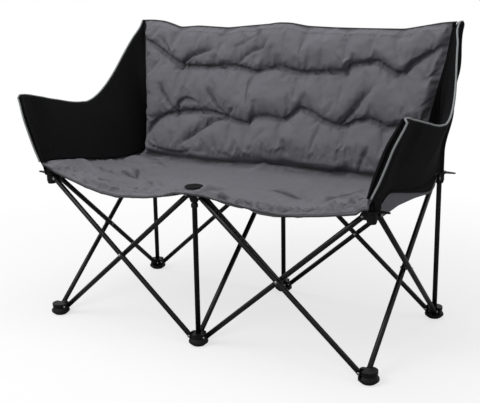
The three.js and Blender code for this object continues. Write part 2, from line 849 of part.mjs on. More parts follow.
function buildSeat() {
  const stem = nodeAt('front', 'centre');
  const stemTop = stem.clone().setZ(postTop);
  const hole = solid(clearRod(stemRadius + seatGap, stem.clone().setZ(hubPivotHeight), stemTop));
  const nearTools = [...frameUnderSeat('front'), armEnvelope(-1), armEnvelope(1), hole];
  const front = seatHalf(0, null, seatColumns, seatFrontRows);
  const rear = seatHalf(null, 1, seatColumns, seatRearRows);
  place('seat_pad_front', geometryOf(cut(front, nearTools)), 'greyFabric');
  place('seat_pad_rear', geometryOf(cut(rear, frameUnderSeat('back'))), 'greyFabric');
}
buildSeat();

// Post centre line at a height, for the sleeves that hold the posts
function postOffset(height) {
  const start = bendStart + bendLength / 2;
  return THREE.MathUtils.clamp((height - start) / (postTop - start), 0, postOverrunShare);
}

// Back pad: raked, with sewn channels across it and tufts along the channels
function backFront(height) {
  return backFrontLine + backRake * (height - backBottom) / (backTopCorner - backBottom);
}

function backTopHeight(x) {
  const outer = bayWidth + postSpread;
  const s = Math.abs(x) / outer;
  const lift = backPostLift * Math.exp(-((x / backPostLiftReach) ** 2));
  return backTopCorner - backTopDip * (1 - s ** backTopPower) + lift;
}

function pillow(v) {
  for (let i = 1; i < channelShares.length; i += 1) {
    if (v <= channelShares[i]) {
      const w = (v - channelShares[i - 1]) / (channelShares[i] - channelShares[i - 1]);
      return Math.sin(Math.PI * THREE.MathUtils.clamp(w, 0, 1)) ** pillowPower;
    }
  }
  return 0;
}

function tufts(x, height, halfWidth) {
  const rowsOfTufts = [[channelShares[1], lowerTuftShares], [channelShares[2], upperTuftShares]];
  let pinch = 0;
  for (const [rowShare, shares] of rowsOfTufts) {
    const rowHeight = mix(backBottom, backTopCorner, rowShare);
    for (const share of shares) {
      const away = Math.hypot(x - share * halfWidth, height - rowHeight);
      pinch = Math.max(pinch, Math.exp(-((away / tuftReach) ** 2)));
    }
  }
  return pinch * tuftDepth;
}

function backPad() {
  const point = (u, v, isFront) => {
    const across = mix(-1, 1, u);
    const fromSide = 1 - Math.abs(across);
    const corner = mix(backBottom, backTopHeight(across * (bayWidth + postSpread)), v);
    const halfWidth = bayWidth + postSpread * postOffset(corner) - postSleeveHalf - backSideGap;
    const x = across * halfWidth;
    const height = mix(backBottom, backTopHeight(x), v);
    const rowEdge = smooth(v / backRowEdgeShare) * smooth((1 - v) / backRowEdgeShare);
    const edge = smooth(fromSide / backSideEdgeShare) * rowEdge;
    const fullness = backCrown * pillow(v) - tufts(x, height, halfWidth);
    const crown = fullness * smooth(fromSide / backCrownFadeShare);
    const pocket = backPocketDepth * smooth((height - backPocketStart) / (backPocketEnd - backPocketStart));
    const depth = backThickness + pocket;
    const thin = mix(backEdge, 0, edge);
    const y = isFront ? backFront(height) + thin - crown * edge : backFront(height) + depth - thin;
    return new THREE.Vector3(x, y, height);
  };
  const columnShares = stations(backColumns, backEdge / bayWidth);
  return pad(columnShares, backRowShares, (u, v) => point(u, v, true), (u, v) => point(u, v, false));
}

const backTools = [...Object.keys(columns).map(postEnvelope), ...hubEnvelope('back', 'centre')];
place('back_pad', geometryOf(cut(backPad(), backTools)), 'greyFabric');

// Side panels run from the arm poles to the back posts, in a front and a rear piece
function panelTopEdge(y) {
  if (y <= panelJoinY) {
    const t = (y + panelFrontY) / (panelJoinY + panelFrontY);
    return { x: panelTopX, z: mix(panelFrontTop, panelLowTop, smooth(t)) };
  }
  const t = Math.min(1, (y - panelJoinY) / (halfDepth - postSleeveHalf - panelJoinY));
  const x = mix(panelTopX, bayWidth + postSpread, t ** panelSpreadPower);
  return { x, z: mix(panelLowTop, backTopCorner, t ** panelRisePower) };
}

function postJoinShare(y) {
  return smooth((y - halfDepth + postJoinReach + postJoinFade) / postJoinFade);
}

// The sleeve round an outer post is loose, so its outer face stands off the post
function wingOffset(y, z) {
  const rising = smooth((z - hubPivotHeight - wingStartRise) / wingFade);
  const falling = smooth((hubPivotHeight + wingEndRise - z) / wingFade);
  return wingBulge * postJoinShare(y) * rising * falling;
}

function panelMiddle(y, v) {
  const top = panelTopEdge(y);
  const low = seatTopHeight(panelBottomX, y) + panelSeatGap;
  const z = mix(low, top.z, v);
  let x = mix(panelBottomX, top.x, v);
  const armShare = smooth((-halfDepth + sleeveReach + sleeveFade - y) / sleeveFade);
  const poleX = bayWidth + armLean * (z - armHingeHeight) / (armTop - armHingeHeight);
  x = mix(x, poleX, armShare);
  x = mix(x, bayWidth + postSpread * postOffset(z), postJoinShare(y));
  const lean = postLean * postOffset(z) * smooth((y - halfDepth + sleeveFade) / sleeveFade);
  return new THREE.Vector3(x, y + lean, z);
}

function panelHalf(y) {
  const arm = smooth((-halfDepth + sleeveReach - y) / sleeveReach);
  const post = smooth((y - halfDepth + sleeveReach) / sleeveReach);
  return mix(mix(panelThickness / 2, armSleeveHalf, arm), postSleeveHalf, post);
}

function sidePanel(side, yStations, endFront, endRear) {
  const first = yStations[0];
  const last = yStations[yStations.length - 1];
  const point = (y, v, sign) => {
    const middle = panelMiddle(y, v);
    const endTaper = (endFront && y === first) || (endRear && y === last) ? panelEndTaperShare : 1;
    const edgeTaper = v === 0 || v === 1 ? panelEdgeTaperShare : 1;
    const half = Math.max(panelEdge / 2, panelHalf(y) * endTaper * edgeTaper);
    const rise = panelMiddle(y, 1).sub(panelMiddle(y, 0));
    const slope = Math.atan2(rise.x, rise.z);
    const wing = sign > 0 ? wingOffset(y, middle.z) * endTaper : 0;
    const x = middle.x + sign * half * Math.cos(slope) + wing;
    return new THREE.Vector3(side * x, middle.y, middle.z - sign * half * Math.sin(slope) * v);
  };
  const outside = (y, v) => point(y, v, 1);
  const inside = (y, v) => point(y, v, -1);
  const surfaces = side > 0 ? [outside, inside] : [inside, outside];
  return pad(yStations, panelRowShares, ...surfaces);
}

function buildPanels(name, side) {
  const gap = seatHalfGap / 2;
  const armInner = -halfDepth + sleeveReach;
  const postInner = halfDepth - sleeveReach;
  const frontStations = [
    -panelFrontY, -panelFrontY + panelEdge, -halfDepth - armSleeveHalf, -halfDepth,
    -halfDepth + armSleeveHalf, armInner,
    ...panelFrontShares.map((share) => mix(armInner, panelJoinY, share)), panelJoinY - gap,
  ];
  const rearStations = [
    panelJoinY + gap, ...panelRearShares.map((share) => mix(panelJoinY, postInner, share)), postInner,
    halfDepth - postSleeveHalf, halfDepth, halfDepth + postSleeveHalf, panelRearY,
  ];
  const column = side < 0 ? 'left' : 'right';
  const scissorTools = [...tubeEnvelopes(), ...lugEnvelopes()];
  const nearTools = [armEnvelope(side), ...hubEnvelope('front', column), ...scissorTools];
  const farTools = [postEnvelope(column), ...hubEnvelope('back', column), ...scissorTools];
  const front = cut(sidePanel(side, frontStations, true, false), nearTools);
  const rear = cut(sidePanel(side, rearStations, false, true), farTools);
  place(`${name}_front`, geometryOf(front), 'blackFabric');
  place(`${name}_rear`, geometryOf(rear), 'blackFabric');
}
buildPanels('side_panel_left', -1);
buildPanels('side_panel_right', 1);

export default model;
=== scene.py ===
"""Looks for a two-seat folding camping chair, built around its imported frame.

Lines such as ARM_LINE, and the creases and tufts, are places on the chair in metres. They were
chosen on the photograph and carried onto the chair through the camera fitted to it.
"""

import json
import math

import bpy
import numpy as np
from bpy.props import FloatProperty, FloatVectorProperty, PointerProperty
from mathutils import Matrix, Vector
from mathutils.noise import noise as noise_at


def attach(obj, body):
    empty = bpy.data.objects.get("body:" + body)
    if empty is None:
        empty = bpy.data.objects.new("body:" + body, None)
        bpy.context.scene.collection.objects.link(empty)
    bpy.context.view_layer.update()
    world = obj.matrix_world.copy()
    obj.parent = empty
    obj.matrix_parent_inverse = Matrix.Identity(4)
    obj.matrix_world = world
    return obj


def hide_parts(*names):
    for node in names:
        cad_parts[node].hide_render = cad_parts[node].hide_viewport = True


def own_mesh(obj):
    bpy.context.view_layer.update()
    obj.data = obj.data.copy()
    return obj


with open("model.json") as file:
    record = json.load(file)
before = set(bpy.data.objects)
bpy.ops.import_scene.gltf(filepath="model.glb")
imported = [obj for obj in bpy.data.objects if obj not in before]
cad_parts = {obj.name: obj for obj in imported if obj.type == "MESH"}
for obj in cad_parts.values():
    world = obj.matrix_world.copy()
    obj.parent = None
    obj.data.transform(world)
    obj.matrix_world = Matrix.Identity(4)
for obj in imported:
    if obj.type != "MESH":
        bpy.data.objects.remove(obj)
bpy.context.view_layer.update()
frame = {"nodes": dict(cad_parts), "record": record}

bl_info = {
    "name": "Folding camping loveseat",
    "version": (1, 0, 0),
    "blender": (4, 5, 0),
    "location": "View3D > Sidebar > Loveseat",
    "description": "Builds the fabric, tubes, rivets and studio of a two-seat folding camping chair",
    "category": "Object",
}

# Frame grid, in metres
BAY = 0.561
HALF_DEPTH = 0.2805
FOOT_PIVOT = 0.028
HUB_PIVOT = 0.473
HUB_TOP = 0.491
PIVOT_REACH = 0.0244
LATERAL = 0.009
TUBE_OVERHANG = 0.009
LUG_NEAR = 0.0094
LUG_FAR = 0.0174
COLUMNS = {"left": -1, "centre": 0, "right": 1}
SIDES = {"left": -1, "right": 1}
ROWS = {"front": -1, "back": 1}
SCISSORS = {
    "front_left": (("front", "left"), ("front", "centre")),
    "front_right": (("front", "centre"), ("front", "right")),
    "back_left": (("back", "left"), ("back", "centre")),
    "back_right": (("back", "centre"), ("back", "right")),
    "side_left": (("front", "left"), ("back", "left")),
    "side_middle": (("front", "centre"), ("back", "centre")),
    "side_right": (("front", "right"), ("back", "right")),
}

# Posts and arm poles
SOCKET_FLOOR = 0.0084
BEND_START = 0.728
BEND_LENGTH = 0.044
POST_TOP = 0.942
POST_LEAN = 0.031
POST_SPREAD = 0.036
ARM_HINGE = 0.504
ARM_LEAN = 0.088
ARM_TOP = 0.733
ARM_OVERHANG = 0.007

# Seat
SEAT_HALF = 0.564
SEAT_FRONT_CENTRE = 0.498
SEAT_FRONT_CORNER = 0.530
SEAT_FRONT_DIP = 0.037
SEAT_FRONT_EDGE = 0.292
SEAT_CORNER_REACH = 0.024
SEAT_TONGUE = 0.030
SEAT_REAR_HEIGHT = 0.477
SEAT_REAR_LIFT = 0.013
SEAT_SAG = 0.016
SEAT_SPLIT = -0.015
SEAT_REAR = 0.2586
SEAT_TURN_UNDER = 0.022
SEAT_LEAST = 0.007
SPLIT_GAP = 0.0003
SEAT_TONGUE_WIDTH = 0.075
SEAT_LIFT_START = 0.87
SEAT_LIFT_REACH = 0.13
SEAT_SLOPE_END = 0.77
SEAT_DIP_POWER = 1.2

# Back
BACK_BOTTOM = 0.490
BACK_TOP = 0.955
BACK_LINE = 0.188
BACK_RAKE = 0.095

# Side panels
PANEL_BOTTOM_X = 0.558
PANEL_TOP_X = 0.655
PANEL_LOW_TOP = 0.681
PANEL_JOIN = 0.011
# Height of the arm's upper edge, by depth
ARM_LINE = [
    (-0.306, 0.741), (-0.285, 0.740), (-0.260, 0.736), (-0.235, 0.729), (-0.199, 0.7215), (-0.170, 0.7135),
    (-0.118, 0.7025), (-0.070, 0.691), (-0.027, 0.684), (0.030, 0.681),
]
POST_JOIN_REACH = 0.008
POST_JOIN_FADE = 0.035
POST_INSET = 0.0125
SPREAD_POWER = 2.1
RISE_POWER = 2
WING_BULGE = 0.025
WING_START = 0.550
WING_END = 0.940
WING_FADE = 0.140

# Rings: a line counts as steep above this slope, and cords are drawn with this many sides
STEEP = 0.9
CORD_SIDES = 12


# Shares, smooth steps and lines through given points

def smooth(t):
    t = np.clip(t, 0.0, 1.0)
    return t * t * (3.0 - 2.0 * t)


def rise(value, start, reach):
    """0 up to a start, and 1 from a reach beyond it."""
    return smooth((value - start) / reach)


def fall(value, end, reach):
    """1 until a reach before an end, and 0 beyond the end."""
    return smooth((end - value) / reach)


def mix(a, b, t):
    return a + (b - a) * t


def through(points, at, reach=0.006):
    """The height of a line through (place, height) points, rounded at its corners."""
    places, heights = np.array(points, float).T
    total = sum(np.interp(at + shift * reach, places, heights) for shift in (-1.0, -0.5, 0.0, 0.5, 1.0))
    return total / 5.0


# Meshes

def new_object(name, points, faces, materials, kinds=None, smooth_faces=True):
    mesh = bpy.data.meshes.new(name)
    mesh.from_pydata([tuple(p) for p in points], [], [tuple(f) for f in faces])
    for each in materials:
        mesh.materials.append(each)
    if kinds is not None:
        mesh.polygons.foreach_set("material_index", np.array(kinds, np.int32))
    mesh.polygons.foreach_set("use_smooth", np.full(len(mesh.polygons), smooth_faces))
    mesh.update()
    made = bpy.data.objects.new(name, mesh)
    bpy.context.scene.collection.objects.link(made)
    return made


def removed(spare):
    """Takes a scratch object and its mesh away."""
    mesh = spare.data
    bpy.data.objects.remove(spare)
    bpy.data.meshes.remove(mesh)


def grid_faces(rows, columns, start=0):
    """Four-sided faces between the points of a grid that is stored row by row."""
    j, i = np.meshgrid(np.arange(rows - 1), np.arange(columns - 1), indexing="ij")
    corner = (start + j * columns + i).ravel()
    return np.stack([corner, corner + 1, corner + columns + 1, corner + columns], 1)


def pad_faces(rows, columns):
    """Faces of a closed pad: its front, its back and the four walls between them."""
    count = rows * columns
    front = grid_faces(rows, columns)
    back = grid_faces(rows, columns, count)[:, ::-1]
    index = np.arange(count).reshape(rows, columns)
    walls = []
    for edge, turned in ((index[0], True), (index[-1], False), (index[:, 0], False), (index[:, -1], True)):
        a, b = (edge[1:], edge[:-1]) if turned else (edge[:-1], edge[1:])
        walls.append(np.stack([b, a, a + count, b + count], 1))
    return front, back, np.concatenate(walls)


def volume(points, faces):
    """A signed measure of the space inside: negative where the faces look inwards."""
    a, b, c, d = (points[faces[:, k]] for k in range(4))
    return float(np.einsum("ij,ij->", a, np.cross(b, c)) + np.einsum("ij,ij->", a, np.cross(c, d)))


def pad(name, front, back, materials, front_kinds=None, back_kind=0, wall_kind=0, crisp=None, fold=None):
    """A closed pad from its two sides; edges between crisp border points aren't shaded round.

    Each front point may carry a painted shade, from 0 to 1, which darkens the cloth's colour in folds and
    other shaded places.
    """
    rows, columns = front.shape[:2]
    points = np.concatenate([front.reshape(-1, 3), back.reshape(-1, 3)])
    fronts, backs, walls = pad_faces(rows, columns)
    faces = np.concatenate([fronts, backs, walls])
    if volume(points, faces) < 0:
        faces = faces[:, ::-1]
    chosen = np.zeros(len(fronts), int) if front_kinds is None else front_kinds.ravel()
    under = np.broadcast_to(back_kind, (rows - 1, columns - 1))
    kinds = np.concatenate([chosen, under.ravel(), np.full(len(walls), wall_kind)])
    made = new_object(name, points, faces, materials, kinds)
    if crisp is not None:
        marked = np.concatenate([crisp.ravel(), crisp.ravel()])
        ends = np.empty(2 * len(made.data.edges), np.int32)
        made.data.edges.foreach_get("vertices", ends)
        ends = ends.reshape(-1, 2)
        sharp = made.data.attributes.new("sharp_edge", "BOOLEAN", "EDGE")
        sharp.data.foreach_set("value", marked[ends].all(1))
    # Painted shade for the front points, stored as a point attribute; the back points get none
    if fold is not None:
        painted_shade_values = np.concatenate([np.clip(fold, 0, 1).ravel(), np.zeros(back.shape[0] * back.shape[1])])
        stored = made.data.attributes.new(PAINTED_SHADE_NAME, "FLOAT", "POINT")
        stored.data.foreach_set("value", painted_shade_values.astype(np.float32))
    return made


def refine(grid):
    """Twice the rows and columns, on a smooth curve through the given points."""
    for axis in (0, 1):
        g = np.moveaxis(grid, axis, 0)
        before = 2 * g[:1] - g[1:2]
        after = 2 * g[-1:] - g[-2:-1]
        g4 = np.concatenate([before, g, after])
        middle = (9 * (g4[1:-2] + g4[2:-1]) - g4[:-3] - g4[3:]) / 16
        fine = np.empty((2 * len(g) - 1,) + g.shape[1:])
        fine[::2] = g
        fine[1::2] = middle
        grid = np.moveaxis(fine, 0, axis)
    return grid


def surface_normals(grid):
    along = np.gradient(grid, axis=1)
    across = np.gradient(grid, axis=0)
    normal = np.cross(along, across)
    return normal / np.maximum(np.linalg.norm(normal, axis=2, keepdims=True), 1e-12)


def tube_faces(count, sides):
    """Faces of a row of rings, with a fan at each end about the two points that follow the rings."""
    around = np.arange(sides)
    after = np.roll(around, -1)
    starts = sides * np.arange(count - 1)[:, None]
    walls = np.stack([starts + around, starts + after, starts + sides + after, starts + sides + around], 2)
    first, last, top = count * sides, count * sides + 1, (count - 1) * sides
    fans = [(first, k, i) for i, k in zip(around, after)]
    fans += [(last, top + i, top + k) for i, k in zip(around, after)]
    return [*walls.reshape(-1, 4), *fans]


def ring_mesh(name, path, radii, material, axes, sides=28, upward=None, flatten=1.0):
    """Rings about a line whose direction is given at each point, closed at both ends."""
    angle = np.linspace(0, 2 * math.pi, sides, endpoint=False)
    rings = []
    for place, radius, axis in zip(path, radii, axes):
        axis = np.array(axis, float) / np.linalg.norm(axis)
        side = np.cross(axis, upward or ((0.0, 0.0, 1.0) if abs(axis[2]) < STEEP else (0.0, 1.0, 0.0)))
        side /= np.linalg.norm(side)
        third = np.cross(axis, side) * flatten
        ring = np.outer(np.cos(angle), side) + np.outer(np.sin(angle), third)
        rings.append(np.array(place) + radius * ring)
    points = np.concatenate([*rings, [path[0], path[-1]]])
    return new_object(name, points, tube_faces(len(rings), sides), [material])


def swept(name, path, radius, material, flatten=1.0):
    """A cord or tape of one size along a path."""
    axes = np.gradient(np.array(path), axis=0)
    steep = abs(axes[0][2]) > STEEP * np.linalg.norm(axes[0])
    upward = (0.0, 1.0, 0.0) if steep else (0.0, 0.0, 1.0)
    return ring_mesh(name, path, [radius] * len(path), material, axes, CORD_SIDES, upward, flatten)


# Materials

# Painted shade: the point attribute that darkens the cloth's colour, and the colour factor at its darkest
PAINTED_SHADE_NAME = "fold"
DARKEST_PAINTED_SHADE = (0.42, 0.42, 0.43)


def add_node(tree, kind, settings=None, sockets=None):
    made = tree.nodes.new(kind)
    for name, value in (settings or {}).items():
        setattr(made, name, value)
    for name, value in (sockets or {}).items():
        if isinstance(value, bpy.types.NodeSocket):
            tree.links.new(value, made.inputs[name])
        else:
            made.inputs[name].default_value = value
    return made


def new_material(name):
    made = bpy.data.materials.new(name)
    made.use_nodes = True
    return made, made.node_tree, made.node_tree.nodes["Principled BSDF"]


def noise(tree, vector, scale, detail=3.0, rough=0.5):
    return add_node(tree, "ShaderNodeTexNoise", sockets={
        "Vector": vector, "Scale": scale, "Detail": detail, "Roughness": rough,
    }).outputs["Fac"]


def sums(tree, kind, *values):
    """A Math node of the given kind."""
    made = tree.nodes.new("ShaderNodeMath")
    made.operation = kind
    for socket, value in zip(made.inputs, values):
        if isinstance(value, bpy.types.NodeSocket):
            tree.links.new(value, socket)
        else:
            socket.default_value = value
    return made.outputs[0]


def ramp(tree, fac, stops):
    made = tree.nodes.new("ShaderNodeValToRGB")
    tree.links.new(fac, made.inputs["Fac"])
    while len(made.color_ramp.elements) < len(stops):
        made.color_ramp.elements.new(0.5)
    for element, (position, colour) in zip(made.color_ramp.elements, stops):
        element.position = position
        element.color = (*colour, 1.0)
    return made.outputs["Color"]


def shade(colour, factor):
    return tuple(c * factor for c in colour)


def weighted(tree, *parts):
    """The sum of (value, weight) parts."""
    scaled = [sums(tree, "MULTIPLY", value, weight) for value, weight in parts]
    total = scaled[0]
    for part in scaled[1:]:
        total = sums(tree, "ADD", total, part)
    return total


def multiplied(tree, first, second):
    """One colour times another."""
    settings = {"data_type": "RGBA", "blend_type": "MULTIPLY"}
    return add_node(tree, "ShaderNodeMix", settings, {0: 1.0, 6: first, 7: second}).outputs[2]


def bumped(tree, strength, distance, height, **normal):
    sockets = {"Strength": strength, "Distance": distance, "Height": height, **normal}
    return add_node(tree, "ShaderNodeBump", sockets=sockets).outputs["Normal"]


def object_place(tree):
    return add_node(tree, "ShaderNodeTexCoord").outputs["Object"]


def cloth_material(name, colour, thread, sideways=False, rough=0.88, melange=0.12, haze=0.0, gloss=0.15):
    """Woven polyester: a plain weave of threads, with mottled yarn and soft patches."""
    made, tree, shader = new_material(name)
    place = object_place(tree)
    split = add_node(tree, "ShaderNodeSeparateXYZ", sockets={"Vector": place}).outputs
    across, along = (split["Y"], split["X"]) if sideways else (split["X"], split["Y"])
    along = sums(tree, "ADD", along, split["Z"])
    turns = 2 * math.pi / thread
    warp, weft = (sums(tree, "SINE", sums(tree, "MULTIPLY", line, turns)) for line in (across, along))
    weave = sums(tree, "MULTIPLY", warp, weft)
    yarn = noise(tree, place, scale=900.0, detail=2.0)
    patch = noise(tree, place, scale=7.0, detail=4.0)
    streak = noise(tree, place, scale=60.0, detail=3.0)
    painted = ramp(tree, weighted(tree, (yarn, 0.5), (patch, 0.3), (streak, 0.2)), [
        (0.3, shade(colour, 1 - melange)), (0.5, colour), (0.7, shade(colour, 1 + melange)),
    ])
    # Painted shade: the point attribute darkens the cloth's colour in folds and other shaded places
    depth = add_node(tree, "ShaderNodeAttribute", {"attribute_name": PAINTED_SHADE_NAME}).outputs["Fac"]
    shade_painted_colour = multiplied(tree, painted, ramp(tree, depth, [(0.0, (1, 1, 1)), (1.0, DARKEST_PAINTED_SHADE)]))
    tree.links.new(shade_painted_colour, shader.inputs["Base Color"])
    threads = weighted(tree, (weave, 0.5), (yarn, 0.5))
    woven = bumped(tree, strength=0.35, distance=0.0003, height=threads)
    creased = bumped(tree, strength=0.5, distance=0.0012, height=streak, Normal=woven)
    tree.links.new(creased, shader.inputs["Normal"])
    worn = sums(tree, "ADD", sums(tree, "MULTIPLY", yarn, 0.1), rough - 0.05)
    tree.links.new(worn, shader.inputs["Roughness"])
    shader.inputs["Sheen Weight"].default_value = haze
    shader.inputs["Sheen Roughness"].default_value = 0.5
    shader.inputs["Specular IOR Level"].default_value = gloss
    return made


def paint_material(name, colour, rough, grain, grain_depth, scuff, gloss):
    """Powder coat or moulded plastic: a fine grain, with pale scuffs where it rubs."""
    made, tree, shader = new_material(name)
    place = object_place(tree)
    fine = noise(tree, place, scale=grain, detail=2.0)
    patch = noise(tree, place, scale=45.0, detail=5.0, rough=0.65)
    painted = ramp(tree, patch, [
        (0.35, shade(colour, 0.85)), (0.62, colour), (0.74, shade(colour, scuff)),
    ])
    tree.links.new(painted, shader.inputs["Base Color"])
    roughness = sums(tree, "ADD", sums(tree, "MULTIPLY", patch, 0.16), rough - 0.08)
    tree.links.new(roughness, shader.inputs["Roughness"])
    shader.inputs["Specular IOR Level"].default_value = gloss
    tree.links.new(bumped(tree, strength=0.4, distance=grain_depth, height=fine), shader.inputs["Normal"])
    return made


def steel_material(name, colour):
    """Zinc-plated steel: soft patches and fine scratches."""
    made, tree, shader = new_material(name)
    place = object_place(tree)
    patch = noise(tree, place, scale=220.0, detail=3.0)
    scratch = noise(tree, place, scale=1400.0, detail=1.0)
    painted = ramp(tree, patch, [(0.3, shade(colour, 0.8)), (0.7, colour)])
    tree.links.new(painted, shader.inputs["Base Color"])
    roughness = sums(tree, "ADD", sums(tree, "MULTIPLY", scratch, 0.25), 0.2)
    tree.links.new(roughness, shader.inputs["Roughness"])
    shader.inputs["Metallic"].default_value = 1.0
    tree.links.new(bumped(tree, strength=0.2, distance=0.0002, height=scratch), shader.inputs["Normal"])
    return made


MATERIALS = {}


def make_materials(finish):
    grey, black, plastic = (tuple(c) for c in (finish.grey_fabric, finish.black_fabric, finish.plastic))
    thread = finish.thread
    matt = {"gloss": 0.05}
    moulded = {"grain": 1700.0, "grain_depth": 0.0002}
    MATERIALS["grey"] = cloth_material("grey_polyester", shade(grey, 1.05), thread, haze=0.04)
    MATERIALS["black"] = cloth_material("black_polyester", black, thread, melange=0.2, **matt)
    MATERIALS["black_side"] = cloth_material(
        "black_polyester_sides", black, thread, sideways=True, melange=0.38, **matt)
    MATERIALS["piping"] = cloth_material("pale_piping", tuple(finish.piping), thread / 2, sideways=True)
    MATERIALS["binding"] = cloth_material("dark_binding", tuple(finish.binding), thread, rough=0.8)
    MATERIALS["thread"] = cloth_material("sewing_thread", tuple(finish.stitches), thread / 3)
    MATERIALS["dark_thread"] = cloth_material("dark_sewing_thread", shade(black, 2.2), thread / 3)
    MATERIALS["tube"] = paint_material(
        "powder_coated_steel", tuple(finish.tube), rough=0.34, scuff=2.0, gloss=0.2,
        grain=1200.0, grain_depth=0.0001)
    MATERIALS["plastic"] = paint_material(
        "moulded_plastic", plastic, rough=0.5, scuff=2.2, gloss=0.14, **moulded)
    # The disc takes a darker copy of the plastic: painted shade on its upward face
    MATERIALS["disc"] = paint_material(
        "moulded_disc", shade(plastic, 0.7), rough=0.6, scuff=2.0, gloss=0.08, **moulded)
    MATERIALS["steel"] = steel_material("zinc_plated_steel", tuple(finish.steel))


# Where the frame's pieces ride

def node_place(row, column):
    return np.array([COLUMNS[column] * BAY, ROWS[row] * HALF_DEPTH, 0.0])


def body_with(node):
    """The body that a CAD node moves with."""
    groups = frame["record"]["behaviour"]["bodies"]
    return next(body for body, members in groups.items() if node in members)


def neighbours(row, column):
    """Directions from a foot or hub to the ones beside it."""
    found = [np.array([0.0, -ROWS[row], 0.0])]
    found += [np.array([way, 0.0, 0.0]) for way in (-1.0, 1.0) if abs(COLUMNS[column] + way) <= 1]
    return found


def placed(piece, body, slot, *stands_for):
    """A hard piece, which moves with its body."""
    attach(piece, body)
    if stands_for:
        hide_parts(*stands_for)


SEAT_KEEP, BACK_KEEP, ARM_KEEP, POST_KEEP = 0.25, 0.26, 0.3, 0.35
SEAT_FILL, BACK_FILL, SIDE_FILL = 0.4, 0.6, 0.3
SIDE_ANCHOR = 0.285


def region_of(name):
    """The body, direction, anchor and share kept of the fabric that stands for a node."""
    if name.startswith("side_panel"):
        depth, keep = (-SIDE_ANCHOR, ARM_KEEP) if name.endswith("front") else (SIDE_ANCHOR, POST_KEEP)
        return body_with(name), (0, 1, 0), (0, depth, 0), keep
    return body_with(name), (1, 0, 0), (0, 0, 0), BACK_KEEP if name == "back_pad" else SEAT_KEEP


def gathered(piece, node, fill=None):
    """Fabric that moves with the body of its node, on a mesh of its own.

    A piece with a fill is a pad that stands for the node.
    """
    body, axis, anchor, keep = region_of(node)
    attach(piece, body)
    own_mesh(piece)
    if fill is not None:
        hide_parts(node)


# Tubes

def tube_ends(foot, hub):
    """The rivets at a tube's two ends, beside the line from its foot to its hub."""
    direction = (hub - foot) / np.linalg.norm(hub - foot)
    sideways = np.cross([0.0, 0.0, 1.0], direction)
    low = foot + direction * PIVOT_REACH + sideways * LATERAL
    high = hub - direction * PIVOT_REACH + sideways * LATERAL
    low[2], high[2] = FOOT_PIVOT, HUB_PIVOT
    return low, high


def capped_path(points, radius, rim=0.0012, plug=0.0008):
    """A path and its radii for a tube whose ends are closed by a plug set back inside the rim."""
    points = [np.array(p, float) for p in points]
    first = (points[1] - points[0]) / np.linalg.norm(points[1] - points[0])
    last = (points[-1] - points[-2]) / np.linalg.norm(points[-1] - points[-2])
    start, end = points[0], points[-1]
    inner = radius - rim
    path = [start + first * plug, start + first * plug * 1.001, start, start + first * rim / 2]
    radii = [inner * 0.5, inner, inner + rim * 0.3, radius]
    middle = points[1:-1]
    path += middle + [end - last * rim / 2, end, end - last * plug * 1.001, end - last * plug]
    radii += [radius] * len(middle) + [radius, inner + rim * 0.3, inner, inner * 0.5]
    return path, radii


def straight_tube(name, start, end, radius, material):
    start, end = np.array(start, float), np.array(end, float)
    path, radii = capped_path([start, mix(start, end, 1 / 3), mix(start, end, 2 / 3), end], radius)
    return ring_mesh(name, path, radii, material, [end - start] * len(path))


def scissor_tubes(sizes):
    for name, (first, second) in SCISSORS.items():
        for letter, (foot, hub) in (("a", (first, second)), ("b", (second, first))):
            low, high = tube_ends(node_place(*foot), node_place(*hub))
            along = (high - low) / np.linalg.norm(high - low)
            node = f"tube_{name}_{letter}"
            ends = low - along * TUBE_OVERHANG, high + along * TUBE_OVERHANG
            piece = straight_tube(f"bar_{name}_{letter}", *ends, sizes.tube_radius, MATERIALS["tube"])
            placed(piece, body_with(node), "powder_coated_tube", node)


def post_line(side):
    """A back post: upright, then bent backwards and outwards."""
    top = np.array([side * POST_SPREAD, POST_LEAN, POST_TOP])
    knee = np.array([0.0, 0.0, BEND_START + BEND_LENGTH / 2])
    start = np.array([0.0, 0.0, BEND_START])
    end = knee + (top - knee) / np.linalg.norm(top - knee) * BEND_LENGTH / 2
    t = np.linspace(0, 1, 9)[:, None]
    bend = (1 - t) ** 2 * start + 2 * t * (1 - t) * knee + t ** 2 * end
    line = [(0.0, 0.0, SOCKET_FLOOR), (0.0, 0.0, BEND_START / 2), *bend, mix(end, top, 0.5), top]
    return [np.array(point) + np.array([side * BAY, HALF_DEPTH, 0.0]) for point in line]


def post_centre(side, height):
    """Centre of a back post at a height, above its foot."""
    knee = BEND_START + BEND_LENGTH / 2
    share = np.clip((height - knee) / (POST_TOP - knee), 0, 1.1)
    return side * (BAY + POST_SPREAD * share), HALF_DEPTH + POST_LEAN * share


def posts(sizes):
    for column, side in COLUMNS.items():
        line = post_line(side)
        path, radii = capped_path(line, sizes.tube_radius)
        axes = np.gradient(np.array(path), axis=0)
        axes[:4] = line[1] - line[0]
        axes[-4:] = line[-1] - line[-2]
        piece = ring_mesh(f"upright_{column}", path, radii, MATERIALS["tube"], axes)
        placed(piece, body_with(f"post_{column}"), "powder_coated_tube", f"post_{column}")


